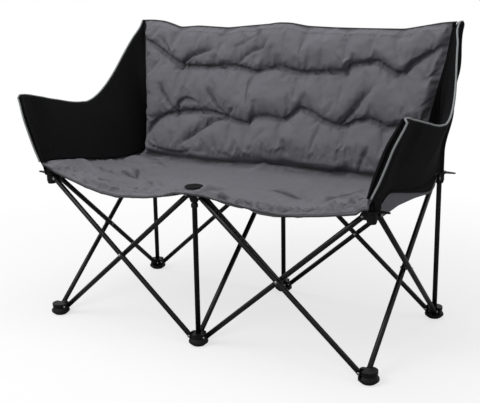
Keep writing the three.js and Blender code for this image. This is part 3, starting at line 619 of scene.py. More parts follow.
def strut(sizes):
    r = sizes.tube_radius
    place = node_place("front", "centre")
    profile = [
        # height and radius: the tube, its cap, a groove, a ring and the pin that seats in the hub
        (SOCKET_FLOOR, r - 0.001), (SOCKET_FLOOR + 0.0005, r), (0.436, r),
        (0.436, 0.0102), (0.4366, 0.01075), (0.4468, 0.01075), (0.4474, 0.0102),
        (0.4478, 0.0072), (0.4512, 0.0072), (0.4515, 0.0101), (0.453, 0.0106),
        (0.4532, 0.006), (0.4614, 0.006), (0.463, 0.0044),
    ]
    path = [place + np.array([0.0, 0.0, height]) for height, _ in profile]
    radii = [radius for _, radius in profile]
    piece = ring_mesh("front_upright", path, radii, MATERIALS["tube"], [(0, 0, 1)] * len(path))
    placed(piece, body_with("strut_front_centre"), "powder_coated_tube", "strut_front_centre")


def arm_line(side):
    """An arm pole's hinge and its upper end."""
    foot = node_place("front", "left" if side < 0 else "right")
    foot[2] = ARM_HINGE
    tip = foot + np.array([side * ARM_LEAN, 0.0, ARM_TOP - ARM_HINGE])
    return foot, tip


def arm_poles(sizes):
    for name, side in SIDES.items():
        foot, tip = arm_line(side)
        along = (tip - foot) / np.linalg.norm(tip - foot)
        start = foot - along * ARM_OVERHANG
        piece = straight_tube(f"arm_bar_{name}", start, tip, sizes.arm_radius, MATERIALS["tube"])
        placed(piece, body_with(f"arm_pole_{name}"), "powder_coated_tube", f"arm_pole_{name}")


# The feet, hubs, disc and crossing rivets keep their own solids, with rounded edges

WELD_DISTANCE = 0.00002
ROUNDED_ABOVE = 34


def dress_mouldings(sizes):
    for name, obj in frame["nodes"].items():
        moulded = name.startswith(("foot_", "hub_")) or name == "seat_clamp_disc"
        if not (moulded or name.startswith("pin_")):
            continue
        obj.data.materials.clear()
        finish = "disc" if name == "seat_clamp_disc" else "plastic" if moulded else "steel"
        obj.data.materials.append(MATERIALS[finish])
        obj.data.polygons.foreach_set("use_smooth", np.full(len(obj.data.polygons), True))
        weld = obj.modifiers.new("join the loose faces", "WELD")
        weld.merge_threshold = WELD_DISTANCE
        round_off = obj.modifiers.new("round the edges", "BEVEL")
        round_off.width = sizes.moulding_round
        round_off.segments = 2
        round_off.limit_method = "ANGLE"
        round_off.angle_limit = math.radians(ROUNDED_ABOVE)
        round_off.use_clamp_overlap = True
        even = obj.modifiers.new("even the shading", "WEIGHTED_NORMAL")
        even.keep_sharp = True


# Seat shape: its upper side starts from the CAD part's

def seat_front(x):
    """Depth of the seat's front edge, with a tongue under the disc and longer corners."""
    corner = SEAT_CORNER_REACH * (np.abs(x) / SEAT_HALF) ** 8
    return -SEAT_FRONT_EDGE - corner - SEAT_TONGUE * np.exp(-((x / SEAT_TONGUE_WIDTH) ** 2))


def seat_share(x, y):
    return np.clip((y - seat_front(x)) / (SEAT_REAR - seat_front(x)), 0, 1)


def seat_top(x, y):
    """Height of the CAD seat's upper side."""
    s = np.minimum(1, np.abs(x) / SEAT_HALF)
    t = seat_share(x, y)
    dip = SEAT_FRONT_DIP * np.abs(np.sin(math.pi * s)) ** SEAT_DIP_POWER
    front = mix(SEAT_FRONT_CENTRE, SEAT_FRONT_CORNER, s * s) - dip
    lift = SEAT_REAR_LIFT * rise(t, start=SEAT_LIFT_START, reach=SEAT_LIFT_REACH)
    sag = SEAT_SAG * np.sin(math.pi * t) * (1 - s ** 4)
    return mix(front, SEAT_REAR_HEIGHT, rise(t, start=0, reach=SEAT_SLOPE_END)) - sag + lift


def near(x, y, place, reach):
    """1 at a place and 0 away from it."""
    away = np.hypot(x - place[0], y - place[1])
    return 1 - smooth((away - reach / 2) / reach)


# Height of the seat's lower edge at its sides, by depth, and in front, by place across
SEAT_SIDE_BOTTOM = [
    (-0.33, 0.500), (-0.27, 0.470), (-0.213, 0.457), (-0.093, 0.4626), (0.040, 0.455), (0.125, 0.446),
    (0.167, 0.441), (0.242, 0.451), (0.27, 0.456),
]
HEM_LINE = [
    (-0.560, 0.523), (-0.532, 0.502), (-0.504, 0.4903), (-0.482, 0.482), (-0.409, 0.4586), (-0.349, 0.445),
    (-0.286, 0.4387), (-0.175, 0.4475), (-0.110, 0.459), (-0.057, 0.478), (0.000, 0.485), (0.0485, 0.481),
    (0.0845, 0.4715), (0.164, 0.459), (0.229, 0.4505), (0.289, 0.447), (0.3555, 0.4515), (0.417, 0.4596),
    (0.493, 0.4728), (0.537, 0.4825), (0.560, 0.491),
]
SEAT_THICK, SEAT_EDGE_THICK = 0.026, 0.013
LIP_START, LIP_REACH, LIP_THICK = 0.003, 0.008, 0.010
FRONT_HUB_RISE, CENTRE_HUB_RISE, REAR_HUB_TOP = 0.024, 0.0008, 0.4905
FRONT_HUB_REACH, REAR_HUB_REACH, HUB_COVER_REACH, DISC_REACH = 0.03, 0.04, 0.05, 0.055
FRONT_HUB_COVER, REAR_HUB_COVER, REAR_HUB_LIFT = 0.004, 0.003, 0.006


def seat_bottom(x, y, top):
    """The seat's underside: a hanging lip in front, and clear of the hubs."""
    s = np.minimum(1, np.abs(x) / SEAT_HALF)
    t = seat_share(x, y)
    edge = mix(SEAT_EDGE_THICK, SEAT_THICK, np.sin(math.pi * s))
    low = top - mix(edge, SEAT_THICK, rise(t, start=0, reach=0.2) * fall(t, end=1, reach=0.12))
    lip = 1 - rise(y - seat_front(x), start=LIP_START, reach=LIP_REACH)
    low = mix(low, np.minimum(through(HEM_LINE, x, reach=0.008), top - LIP_THICK), lip)
    side = rise(s, start=0.9, reach=0.09) * rise(t, start=0, reach=0.12)
    low = mix(low, np.minimum(low, through(SEAT_SIDE_BOTTOM, y)), side)
    for sign in COLUMNS.values():
        front = near(x, y, (sign * BAY, -HALF_DEPTH), FRONT_HUB_REACH)
        floor = HUB_TOP + (FRONT_HUB_RISE if sign else CENTRE_HUB_RISE)
        floor = np.minimum(floor, top - FRONT_HUB_COVER)
        low = np.where(front > 0, np.maximum(low, mix(low, floor, front)), low)
        rear = near(x, y, (sign * BAY, HALF_DEPTH), REAR_HUB_REACH)
        floor = np.minimum(REAR_HUB_TOP, top - REAR_HUB_COVER)
        low = np.where(rear > 0, np.maximum(low, mix(low, floor, rear)), low)
    return low


# Shares of the seat's width or depth that its edges turn over in, and how far they drop
SIDE_EDGE, REAR_EDGE, FRONT_EDGE = 0.018, 0.03, 0.085
REAR_DROP, SIDE_DROP, FRONT_DROP = 0.005, 0.0008, 0.75
MOST_DROP_SHARE = 0.3
SHARP_FROM = 0.97
FRONT_ROW_CROWDING = 1.2


def stations(length, sizes):
    """How many spaces of the cloth's pitch go into a length."""
    return int(round(length / sizes.cloth_pitch))


def seat_grids(sizes):
    """The upper and lower sides of the whole seat, and its row at the split."""
    xs = np.linspace(-SEAT_HALF, SEAT_HALF, stations(2 * SEAT_HALF, sizes) + 1)
    front_rows = max(6, stations(SEAT_SPLIT + SEAT_FRONT_EDGE, sizes))
    rear_rows = max(6, stations(SEAT_REAR - SEAT_SPLIT, sizes))
    ahead = np.linspace(0, 1, front_rows + 1) ** FRONT_ROW_CROWDING
    share = np.concatenate([ahead, 1 + np.linspace(0, 1, rear_rows + 1)[1:]])[:, None]
    x = np.broadcast_to(xs, (len(share), len(xs))).copy()
    y = np.where(share <= 1, mix(seat_front(x), SEAT_SPLIT, share), mix(SEAT_SPLIT, SEAT_REAR, share - 1))
    top = seat_top(x, y)
    for sign in COLUMNS.values():
        top = top + REAR_HUB_LIFT * near(x, y, (sign * BAY, HALF_DEPTH), HUB_COVER_REACH)
    top = mix(top, SEAT_FRONT_CENTRE, near(x, y, (0, -HALF_DEPTH), DISC_REACH))
    bottom = seat_bottom(x, y, top)
    s, t = np.abs(x) / SEAT_HALF, seat_share(x, y)
    thick = top - bottom
    side_edge = 1 - fall(s, end=1, reach=SIDE_EDGE)
    rear_edge = 1 - fall(t, end=1, reach=REAR_EDGE)
    roll_over = (1 - t / FRONT_EDGE).clip(0, 1) ** 2 * (1 - side_edge)
    most = mix(REAR_DROP, SIDE_DROP, side_edge)
    drop = np.minimum(MOST_DROP_SHARE * thick * np.maximum(rear_edge, side_edge), most)
    top_side = top - np.maximum(drop, FRONT_DROP * (top[:1] - bottom[:1]) * roll_over)
    low_side = np.where(s > SHARP_FROM, bottom, bottom + drop)
    return np.stack([x, y, top_side], 2), np.stack([x, y, low_side], 2), front_rows


# Back shape: the CAD part's leaning face, with rows of quilting that wander

# Heights of the cushion's lowest row, its two rows of quilting and its top, by place across
ROW_BOTTOM = [
    (-0.56, 0.479), (-0.500, 0.484), (-0.442, 0.482), (-0.374, 0.480), (-0.321, 0.480), (-0.288, 0.473),
    (-0.216, 0.474), (-0.159, 0.475), (-0.119, 0.490), (-0.055, 0.495), (-0.029, 0.497), (0.024, 0.493),
    (0.057, 0.505), (0.094, 0.494), (0.147, 0.482), (0.198, 0.474), (0.242, 0.475), (0.261, 0.492),
    (0.288, 0.499), (0.323, 0.477), (0.400, 0.480), (0.500, 0.484), (0.560, 0.486),
]
ROW_LOWER = [
    (-0.56, 0.535), (-0.510, 0.557), (-0.501, 0.578), (-0.473, 0.605), (-0.439, 0.623), (-0.394, 0.631),
    (-0.330, 0.640), (-0.260, 0.640), (-0.184, 0.629), (-0.160, 0.619), (-0.094, 0.607), (-0.078, 0.632),
    (-0.024, 0.637), (0.038, 0.627), (0.071, 0.648), (0.099, 0.672), (0.140, 0.659), (0.181, 0.637),
    (0.227, 0.625), (0.265, 0.622), (0.300, 0.641), (0.347, 0.649), (0.379, 0.639), (0.406, 0.626),
    (0.436, 0.633), (0.500, 0.646), (0.560, 0.650),
]
ROW_UPPER = [
    (-0.56, 0.885), (-0.525, 0.871), (-0.476, 0.843), (-0.433, 0.819), (-0.391, 0.797), (-0.360, 0.793),
    (-0.272, 0.795), (-0.164, 0.801), (-0.084, 0.783), (-0.041, 0.794), (0.003, 0.803), (0.047, 0.793),
    (0.087, 0.786), (0.176, 0.791), (0.247, 0.793), (0.271, 0.816), (0.313, 0.822), (0.354, 0.830),
    (0.381, 0.814), (0.414, 0.796), (0.449, 0.795), (0.476, 0.826), (0.512, 0.850), (0.56, 0.882),
]


def back_front(z):
    """Depth of the back's leaning front face."""
    return BACK_LINE + BACK_RAKE * (z - BACK_BOTTOM) / (BACK_TOP - BACK_BOTTOM)


TOP_LINE = [
    (-0.620, 0.955), (-0.542, 0.956), (-0.497, 0.952), (-0.453, 0.941), (-0.423, 0.931), (-0.387, 0.933),
    (-0.344, 0.936), (-0.281, 0.933), (-0.218, 0.930), (-0.137, 0.937), (-0.058, 0.943), (-0.024, 0.948),
    (0.027, 0.947), (0.090, 0.937), (0.185, 0.933), (0.291, 0.931), (0.429, 0.930), (0.490, 0.940),
    (0.549, 0.950), (0.620, 0.955),
]


def back_top(x):
    return through(TOP_LINE, x, reach=0.012)


# How far out the seams beside the cushion lie, by height
SEAM_LEFT = [
    (0.480, 0.536), (0.520, 0.537), (0.645, 0.545), (0.691, 0.551), (0.767, 0.562), (0.840, 0.571),
    (0.960, 0.580),
]
SEAM_RIGHT = [
    (0.480, 0.526), (0.520, 0.527), (0.645, 0.532), (0.691, 0.539), (0.767, 0.553), (0.840, 0.568),
    (0.960, 0.581),
]
# Height of the underside of the cushion's lowest row, which the swell holds and which gets painted shadow
UNDERSIDE = [
    (-0.56, 0.004), (-0.15, 0.004), (-0.07, 0.012), (-0.02, 0.020), (0.05, 0.026), (0.11, 0.020),
    (0.16, 0.022), (0.21, 0.026), (0.28, 0.016), (0.36, 0.010), (0.56, 0.008),
]
# The flange beside the cushion, and the pocket in which its rear side takes the middle post
FLANGE_COLUMNS = 4
FLANGE_Y = 0.262
FLANGE_HALF = 0.0025
BACK_THICK = 0.029
BACK_TUCK = 0.014
EDGE_SETBACK = 0.006
SIDE_SETBACK = 0.008
ROW_FADE = 0.035
CHANNEL_SAG = 0.65
RESTING_DEPTH = 0.016
RESTING_CLEAR = 0.001
POST_POCKET = 0.0105
POCKET_WIDTH = 0.024
POCKET_START = 0.735
POCKET_FADE = 0.05


def seam_x(x, z):
    """How far out the seam beside the cushion lies, on the side that x is on."""
    return np.where(x < 0, through(SEAM_LEFT, z), through(SEAM_RIGHT, z))


def flange_end(z):
    """Where the black flange beside the cushion meets the side panel's inner face."""
    y = np.full(z.shape, FLANGE_Y)
    low = seat_top(np.full(z.shape, PANEL_BOTTOM_X), y)
    _, high = panel_top(y)
    x, place_y, _ = panel_middle(y, np.clip((z - low) / (high - low), 0, 1))
    return x - PANEL_HALF - PANEL_EDGE_HALF, place_y


def pillow(w):
    """A sagging channel: steep under its belly and long above it."""
    return np.sin(math.pi * np.clip(w, 0, 1) ** CHANNEL_SAG)


def back_grids(sizes):
    """The front and rear sides of the back cushion, with a flange beside it that meets the side panels."""
    columns = stations(2 * BAY, sizes) + 1
    rows = stations(BACK_TOP - BACK_BOTTOM, sizes) + 1
    beside = np.linspace(0, 1, FLANGE_COLUMNS + 1)[1:]
    across = np.concatenate([-1 - beside[::-1], np.linspace(-1, 1, columns), 1 + beside])[None, :]
    share = np.linspace(0, 1, rows)[:, None]
    inside = np.clip(across, -1, 1)
    out = np.clip(np.abs(across) - 1, 0, 1)
    rough_x = inside * BAY
    rough_z = mix(through(ROW_BOTTOM, rough_x), back_top(rough_x), share)
    seam = seam_x(inside, rough_z)
    end_x, end_y = flange_end(rough_z)
    x = inside * seam + np.sign(across) * out * (end_x - seam)
    bottom, top = through(ROW_BOTTOM, x), back_top(x)
    z = mix(bottom, top, share)
    seat_under = seat_top(x, np.full(x.shape, BACK_LINE + RESTING_DEPTH))
    resting = np.minimum(bottom, seat_under + RESTING_CLEAR)
    lower, upper = through(ROW_LOWER, x, reach=0.01), through(ROW_UPPER, x, reach=0.01)
    lows = np.where(z < lower, bottom, np.where(z < upper, lower, upper))
    highs = np.where(z < lower, lower, np.where(z < upper, upper, top))
    belly = pillow((z - lows) / (highs - lows)) * fall(np.abs(inside), end=1, reach=0.05)
    row_edge = rise(share, start=0, reach=ROW_FADE) * fall(share, end=1, reach=ROW_FADE)
    edge = fall(np.abs(inside), end=1, reach=0.02) * row_edge
    front_y = back_front(z) - sizes.back_crown * belly * row_edge + EDGE_SETBACK * (1 - edge)
    pocket = rise(z, start=POCKET_START, reach=POCKET_FADE)
    rear_y = back_front(z) + BACK_THICK
    behind = np.maximum(post_centre(1, z)[1] + POST_POCKET - rear_y, 0)
    rear_y = rear_y + pocket * behind * np.exp(-((x / POCKET_WIDTH) ** 2)) - EDGE_SETBACK * (1 - edge)
    front_y = front_y + SIDE_SETBACK * (1 - fall(np.abs(inside), end=1, reach=0.045)) * row_edge
    tucked = (1 - rise(share, start=0, reach=0.045)) * fall(np.abs(inside), end=1, reach=0.03)
    front_y = front_y + BACK_TUCK * tucked
    z = mix(z, resting, tucked)
    outwards = smooth(out) * 0.3 + out * 0.7
    front_y = mix(front_y, np.maximum(end_y - FLANGE_HALF, front_y), outwards)
    rear_y = mix(rear_y, end_y + FLANGE_HALF, outwards)
    return np.stack([x, front_y, z], 2), np.stack([x, rear_y, z], 2)


# Creases: fabric pulled in along a line, deep and wide above it and narrow below it

BACK_CREASES = [
    # points, depth, reach above, reach below, whether it fades at its start and at its end
    (ROW_UPPER, 0.014, 0.030, 0.009, False, False),
    (ROW_LOWER, 0.013, 0.030, 0.009, False, False),
    ([(-0.404, 0.811), (-0.434, 0.831), (-0.456, 0.867), (-0.498, 0.910)], 0.010, 0.016, 0.012, False, True),
    ([(-0.391, 0.797), (-0.344, 0.833), (-0.307, 0.846), (-0.246, 0.863), (-0.240, 0.879)],
     0.015, 0.026, 0.010, False, True),
    ([(-0.164, 0.801), (-0.127, 0.838), (-0.101, 0.854), (-0.057, 0.870), (-0.038, 0.901), (-0.054, 0.927)],
     0.011, 0.022, 0.012, False, True),
    ([(-0.194, 0.860), (-0.140, 0.880), (-0.097, 0.904), (-0.054, 0.923)], 0.005, 0.016, 0.014, True, True),
    ([(0.247, 0.793), (0.234, 0.833), (0.201, 0.867)], 0.006, 0.014, 0.014, False, True),
    ([(-0.394, 0.631), (-0.428, 0.669), (-0.458, 0.708), (-0.465, 0.732), (-0.501, 0.729)],
     0.013, 0.016, 0.012, False, True),
    ([(-0.394, 0.631), (-0.383, 0.671), (-0.360, 0.690), (-0.319, 0.682), (-0.289, 0.668), (-0.278, 0.656)],
     0.013, 0.010, 0.024, False, True),
    ([(-0.184, 0.629), (-0.215, 0.655), (-0.243, 0.693), (-0.271, 0.732), (-0.291, 0.739)],
     0.013, 0.018, 0.012, False, True),
    ([(-0.184, 0.629), (-0.163, 0.654), (-0.142, 0.671)], 0.011, 0.012, 0.012, False, True),
    ([(-0.382, 0.512), (-0.335, 0.544), (-0.280, 0.584), (-0.235, 0.615), (-0.184, 0.629)],
     0.015, 0.026, 0.010, True, False),
    ([(0.248, 0.628), (0.278, 0.652), (0.306, 0.692), (0.328, 0.727), (0.356, 0.757), (0.386, 0.769)],
     0.014, 0.026, 0.012, False, True),
    ([(-0.500, 0.512), (-0.442, 0.497), (-0.374, 0.490), (-0.321, 0.503), (-0.276, 0.540)],
     0.010, 0.016, 0.010, False, True),
    ([(0.325, 0.490), (0.343, 0.536), (0.364, 0.580)], 0.010, 0.014, 0.020, False, True),
    ([(-0.223, 0.540), (-0.205, 0.509)], 0.005, 0.012, 0.012, True, False),
    ([(0.250, 0.587), (0.255, 0.534)], 0.004, 0.010, 0.010, True, True),
    ([(-0.083, 0.546), (-0.009, 0.613)], 0.004, 0.022, 0.022, True, True),
    ([(0.503, 0.802), (0.571, 0.797)], 0.005, 0.012, 0.012, True, False),
]
TUFT_REACH = 0.022
# Place across, height and depth of each tuft
BACK_TUFTS = [
    (-0.394, 0.631, 0.020), (-0.184, 0.629, 0.020), (-0.391, 0.797, 0.020), (-0.164, 0.801, 0.016),
    (0.248, 0.628, 0.019), (0.405, 0.628, 0.016), (0.250, 0.793, 0.016), (0.425, 0.796, 0.019),
]
# The far side of a fold in the seat is the steep one
SEAT_CREASES = [
    ([(-0.434, -0.054), (-0.390, -0.084), (-0.345, -0.105)], 0.015, 0.019, 0.048, True, False),
    ([(-0.430, 0.020), (-0.380, -0.050), (-0.345, -0.105)], 0.014, 0.019, 0.036, True, False),
    ([(-0.499, -0.108), (-0.450, -0.140), (-0.430, -0.130), (-0.440, -0.080)],
     0.010, 0.021, 0.042, True, True),
    ([(-0.402, -0.250), (-0.381, -0.236), (-0.340, -0.215)], 0.009, 0.017, 0.036, True, True),
    ([(-0.294, -0.262), (-0.250, -0.222), (-0.190, -0.215)], 0.014, 0.018, 0.042, True, True),
    ([(-0.299, -0.096), (-0.250, -0.150), (-0.213, -0.196)], 0.009, 0.018, 0.036, True, True),
    ([(0.110, -0.075), (0.155, -0.045), (0.200, -0.055), (0.245, -0.090), (0.300, -0.145)],
     0.020, 0.020, 0.050, True, True),
    ([(-0.516, 0.170), (-0.454, 0.150), (-0.401, 0.128)], 0.011, 0.021, 0.042, True, True),
    ([(-0.450, 0.100), (-0.414, 0.121), (-0.360, 0.090)], 0.011, 0.018, 0.036, True, True),
    ([(0.347, -0.170), (0.352, -0.080), (0.374, -0.020), (0.408, 0.030), (0.460, 0.060)],
     0.011, 0.030, 0.050, True, True),
    ([(0.474, -0.250), (0.479, -0.280), (0.486, -0.310)], 0.012, 0.010, 0.012, True, False),
]


def from_line(across, upward, points):
    """Each point's distance from a line, whether it lies above, and its share of the way along."""
    line = np.array(points, float)
    lengths = np.linalg.norm(np.diff(line, axis=0), axis=1)
    run = np.concatenate([[0], np.cumsum(lengths)])
    nearest = np.full(across.shape, 1e9)
    above = np.zeros(across.shape, bool)
    share = np.zeros(across.shape)
    for k, (a, b) in enumerate(zip(line[:-1], line[1:])):
        d = b - a
        px, py = across - a[0], upward - a[1]
        t = np.clip((px * d[0] + py * d[1]) / (d @ d), 0, 1)
        away = np.hypot(px - t * d[0], py - t * d[1])
        closer = away < nearest
        higher = (d[0] * py - d[1] * px) * (1 if d[0] >= 0 else -1) > 0
        nearest = np.where(closer, away, nearest)
        above = np.where(closer, higher, above)
        share = np.where(closer, (run[k] + t * lengths[k]) / run[-1], share)
    return nearest, above, share


FADE_IN, FADE_OUT = 0.35, 0.45
CREASE_SHARPNESS, TUFT_SHARPNESS = 0.75, 0.8


def crease_depths(across, upward, creases):
    """How far each point is pulled in by the creases, in metres."""
    total = np.zeros(across.shape)
    for points, depth, reach_above, reach_below, fades_in, fades_out in creases:
        nearest, above, share = from_line(across, upward, points)
        away = np.clip(nearest / np.where(above, reach_above, reach_below), 0, 1)
        pull = depth * (1 - np.sin(math.pi / 2 * away) ** CREASE_SHARPNESS)
        if fades_in:
            pull = pull * rise(share, start=0, reach=FADE_IN)
        if fades_out:
            pull = pull * fall(share, end=1, reach=FADE_OUT)
        total = np.maximum(total, pull)
    return total


# Cloth simulation

CLOTH = {
    "quality": 5, "mass": 0.3, "tension_stiffness": 15, "compression_stiffness": 15, "shear_stiffness": 5,
    "bending_stiffness": 1.2, "use_pressure": True, "vertex_group_mass": "held", "pin_stiffness": 1.0,
}


def swell(front, back, held, pressure, growth, cap, frames=20):
    """Inflates a closed pad of cloth between the points that hold it, and returns both sides."""
    points = np.concatenate([front.reshape(-1, 3), back.reshape(-1, 3)])
    faces = np.concatenate(pad_faces(*front.shape[:2]))
    if volume(points, faces) < 0:
        faces = faces[:, ::-1]
    cloth = new_object("cloth_to_swell", points, faces, [])
    group = cloth.vertex_groups.new(name="held")
    weights = np.concatenate([held.ravel(), held.ravel()])
    for index in np.nonzero(weights > 0.01)[0]:
        group.add([int(index)], float(weights[index]), "REPLACE")
    modifier = cloth.modifiers.new("swell", "CLOTH")
    for name, value in CLOTH.items():
        setattr(modifier.settings, name, value)
    modifier.settings.uniform_pressure_force = pressure
    modifier.settings.shrink_min = -growth
    modifier.settings.effector_weights.gravity = 0
    modifier.collision_settings.use_collision = False
    modifier.point_cache.frame_start = 1
    modifier.point_cache.frame_end = frames
    scene = bpy.context.scene
    for number in range(1, frames + 1):
        scene.frame_set(number)
    swollen = cloth.evaluated_get(bpy.context.evaluated_depsgraph_get())
    moved = np.array([v.co for v in swollen.data.vertices], float)
    removed(cloth)
    scene.frame_set(1)
    step = moved - points
    size = np.linalg.norm(step, axis=1, keepdims=True)
    step *= np.minimum(1, cap / np.maximum(size, 1e-9))
    count = front.shape[0] * front.shape[1]
    return (points + step)[:count].reshape(front.shape), (points + step)[count:].reshape(front.shape)


def border(grid):
    """1 on a grid's outermost points."""
    edge = np.zeros(grid.shape[:2])
    edge[0] = edge[-1] = edge[:, 0] = edge[:, -1] = 1
    return edge


def raised(grid, direction, heights):
    """A grid moved along its own normals, on the side that faces the given way."""
    return grid + surface_normals(grid) * outward(grid, direction) * np.asarray(heights)[..., None]


def tuft_depths(grid):
    """How far the tufts pull in each point of the back."""
    total = np.zeros(grid.shape[:2])
    for x, z, depth in BACK_TUFTS:
        away = np.clip(np.hypot(grid[:, :, 0] - x, grid[:, :, 2] - z) / TUFT_REACH, 0, 1)
        total = np.maximum(total, depth * (1 - np.sin(math.pi / 2 * away) ** TUFT_SHARPNESS))
    return total


def above_underside(grid):
    """Height of each point of the back over the shadowed underside of its lowest row."""
    return grid[:, :, 2] - grid[:1, :, 2] - through(UNDERSIDE, grid[:, :, 0])


# How far the cloth may swell, how firmly a crease holds it, and how dark the painted shade gets in its folds
# and under its lowest row
BACK_CAP, SEAT_CAP = 0.012, 0.010
BACK_CREASE_HOLD, SEAT_CREASE_HOLD = 0.9, 0.8
BACK_CREASE_DARK, BACK_DARK_POWER, UNDERSIDE_SHADE = 0.016, 1.3, 0.9
SEAM_FADE = 0.05
REAR_QUILTING = 0.3


def build_back(sizes):
    front, back = back_grids(sizes)
    pull = crease_depths(front[:, :, 0], front[:, :, 2], BACK_CREASES)
    held = np.maximum(border(front), rise(pull, start=0.006, reach=0.006) * BACK_CREASE_HOLD)
    held[:, :FLANGE_COLUMNS + 1] = held[:, -FLANGE_COLUMNS - 1:] = 1
    held = np.maximum(held, 1 - rise(above_underside(front), start=0.010, reach=0.02))
    front, back = swell(front, back, held, sizes.pressure, sizes.growth, BACK_CAP)
    front, back = refine(front), refine(back)
    x, z = front[:, :, 0], front[:, :, 2]
    flange = 2 * FLANGE_COLUMNS
    inner = np.zeros(x.shape)
    inner[4:-4, flange:-flange] = 1
    inner *= rise(seam_x(x, z) - np.abs(x), start=0, reach=SEAM_FADE)
    pull = np.maximum(crease_depths(x, z, BACK_CREASES), tuft_depths(front))
    lift = lumps(front, size=0.055, height=0.0035, seed=3.0)
    lift = lift + lumps(front, size=0.022, height=0.0012, seed=11.0) - pull
    front = raised(front, (0, -1, 0), lift * inner)
    quilted = crease_depths(back[:, :, 0], back[:, :, 2], BACK_CREASES[:2])
    behind = lumps(back, size=0.09, height=0.005, seed=7.0) - REAR_QUILTING * quilted
    back = raised(back, (0, 1, 0), behind * inner)
    # Painted shadow under the lowest row's belly, and painted shade in the creases and tufts: both darken
    # the grey cloth's colour
    shadow = 1 - rise(above_underside(front), start=0, reach=0.006)
    shadow *= rise(through(UNDERSIDE, front[:, :, 0]), start=0.004, reach=0.012)
    fold = np.maximum(inner * (pull / BACK_CREASE_DARK) ** BACK_DARK_POWER, UNDERSIDE_SHADE * shadow)
    kinds = np.zeros((front.shape[0] - 1, front.shape[1] - 1), int)
    kinds[:, :flange] = kinds[:, -flange:] = 1
    piece = pad("back_cushion", front, back, [MATERIALS["grey"], MATERIALS["black"]], kinds, 1, 1, fold=fold)
    gathered(piece, "back_pad", BACK_FILL)
    return front, back


def lumps(grid, size, height, seed):
    """Soft unevenness of the padding, by place."""
    points = grid.reshape(-1, 3) / size + seed
    values = [noise_at(Vector(point)) for point in points]
    return np.array(values).reshape(grid.shape[:2]) * height


def outward(grid, direction):
    """1 or -1, so that the grid's own normals point the given way."""
    middle = surface_normals(grid)[grid.shape[0] // 2, grid.shape[1] // 2]
    return 1.0 if middle @ np.array(direction, float) > 0 else -1.0


HEM_SEAM_DEPTH, HEM_SEAM_PLACE, HEM_SEAM_WIDTH = 0.0022, 0.017, 0.004
PUCKER_PLACE, PUCKER_REACH = 0.030, 0.034
EVEN_SHARE = 0.35


def hem_shape(top):
    """The sewn line behind the seat's front edge, and the puckers that it draws in."""
    x, y = top[:, :, 0], top[:, :, 1]
    behind = y - top[:1, :, 1]
    seam = -HEM_SEAM_DEPTH * np.exp(-(((behind - HEM_SEAM_PLACE) / HEM_SEAM_WIDTH) ** 2))
    place = np.stack([x, behind * 0.7, 0 * x], 2)
    pucker = lumps(place, size=0.022, height=0.022, seed=29.0)
    pucker = pucker + lumps(place, size=0.011, height=0.010, seed=31.0)
    loose = mix(EVEN_SHARE, 1, rise(x, start=0.06, reach=0.10) * fall(x, end=0.57, reach=0.04))
    gather = loose * pucker * np.exp(-(((behind - PUCKER_PLACE) / PUCKER_REACH) ** 2))
    return (seam + gather) * rise(behind, start=0, reach=0.008)


RING_HEIGHT, RING_INNER, RING_OUTER = 0.005, 0.028, 0.085


def disc_ring(top):
    """Cloth that stands up a little round the clamp disc."""
    away = np.hypot(top[:, :, 0], top[:, :, 1] + HALF_DEPTH)
    behind = rise(top[:, :, 1] - top[:1, :, 1], start=0, reach=0.012)
    ring = RING_HEIGHT * rise(away, start=RING_INNER, reach=0.009)
    return ring * fall(away, end=RING_OUTER, reach=0.05) * behind


# Depth at which a crease has its darkest painted shade, and the painted shade of the hem's slope
SEAT_CREASE_DARK, PUCKER_DARK, MOST_PUCKER_SHADE = 0.012, 0.0030, 0.7
SLOPE_SHADE, SLOPE_START, SLOPE_REACH = 0.24, 0.035, 0.045


def seat_relief(top, low):
    """How far each point of the swollen seat is lifted, and how much painted shade darkens its colour."""
    x = top[:, :, 0]
    behind = top[:, :, 1] - top[:1, :, 1]
    room = top[:, :, 2] - low[:, :, 2]
    pull = crease_depths(x, top[:, :, 1], SEAT_CREASES)
    inner = np.zeros(x.shape)
    inner[4:-4, 4:-4] = 1
    beside = fall(np.abs(x), end=SEAT_HALF, reach=0.03)
    puckers = hem_shape(top)
    lift = lumps(top, size=0.07, height=0.006, seed=5.0)
    lift = lift + lumps(top, size=0.028, height=0.0018, seed=17.0) - pull
    lift = np.maximum(beside * lift * inner + puckers + disc_ring(top), np.minimum(0, SEAT_LEAST - room))
    # Painted shade: on the hem's slope towards the right, in the dents of the puckers where the seat is
    # thick, and in the creases
    deep = rise(room, start=0.009, reach=0.008) * mix(0.3, 1, rise(x, start=0.06, reach=0.1))
    slope = SLOPE_SHADE * rise(behind, start=0, reach=0.008)
    slope *= 1 - rise(behind, start=SLOPE_START, reach=SLOPE_REACH)
    slope *= rise(x, start=0.06, reach=0.12)
    pucker_painted_shade = np.clip(-puckers / PUCKER_DARK, 0, MOST_PUCKER_SHADE)
    fold = np.maximum(inner * pull / SEAT_CREASE_DARK, slope + deep * pucker_painted_shade)
    return lift, beside * fold


def seat_half(name, upper, under, fold, split_row, gap):
    """One half of the seat, whose grey hem is turned under in front."""
    upper, under = upper.copy(), under.copy()
    upper[split_row, :, 1] += gap
    under[split_row, :, 1] += gap
    joint = np.zeros(upper.shape[:2], bool)
    joint[split_row] = True
    kinds = np.zeros((upper.shape[0] - 1, upper.shape[1] - 1), int)
    turned_under = kinds > 0
    if name == "front":
        turned_under = under[:-1, :-1, 1] - under[:1, :-1, 1] < SEAT_TURN_UNDER
    piece = pad(
        f"seat_cushion_{name}", upper, under, [MATERIALS["grey"], MATERIALS["black"]],
        kinds, np.where(turned_under, 0, 1), 0, joint, fold,
    )
    gathered(piece, f"seat_pad_{name}", SEAT_FILL)


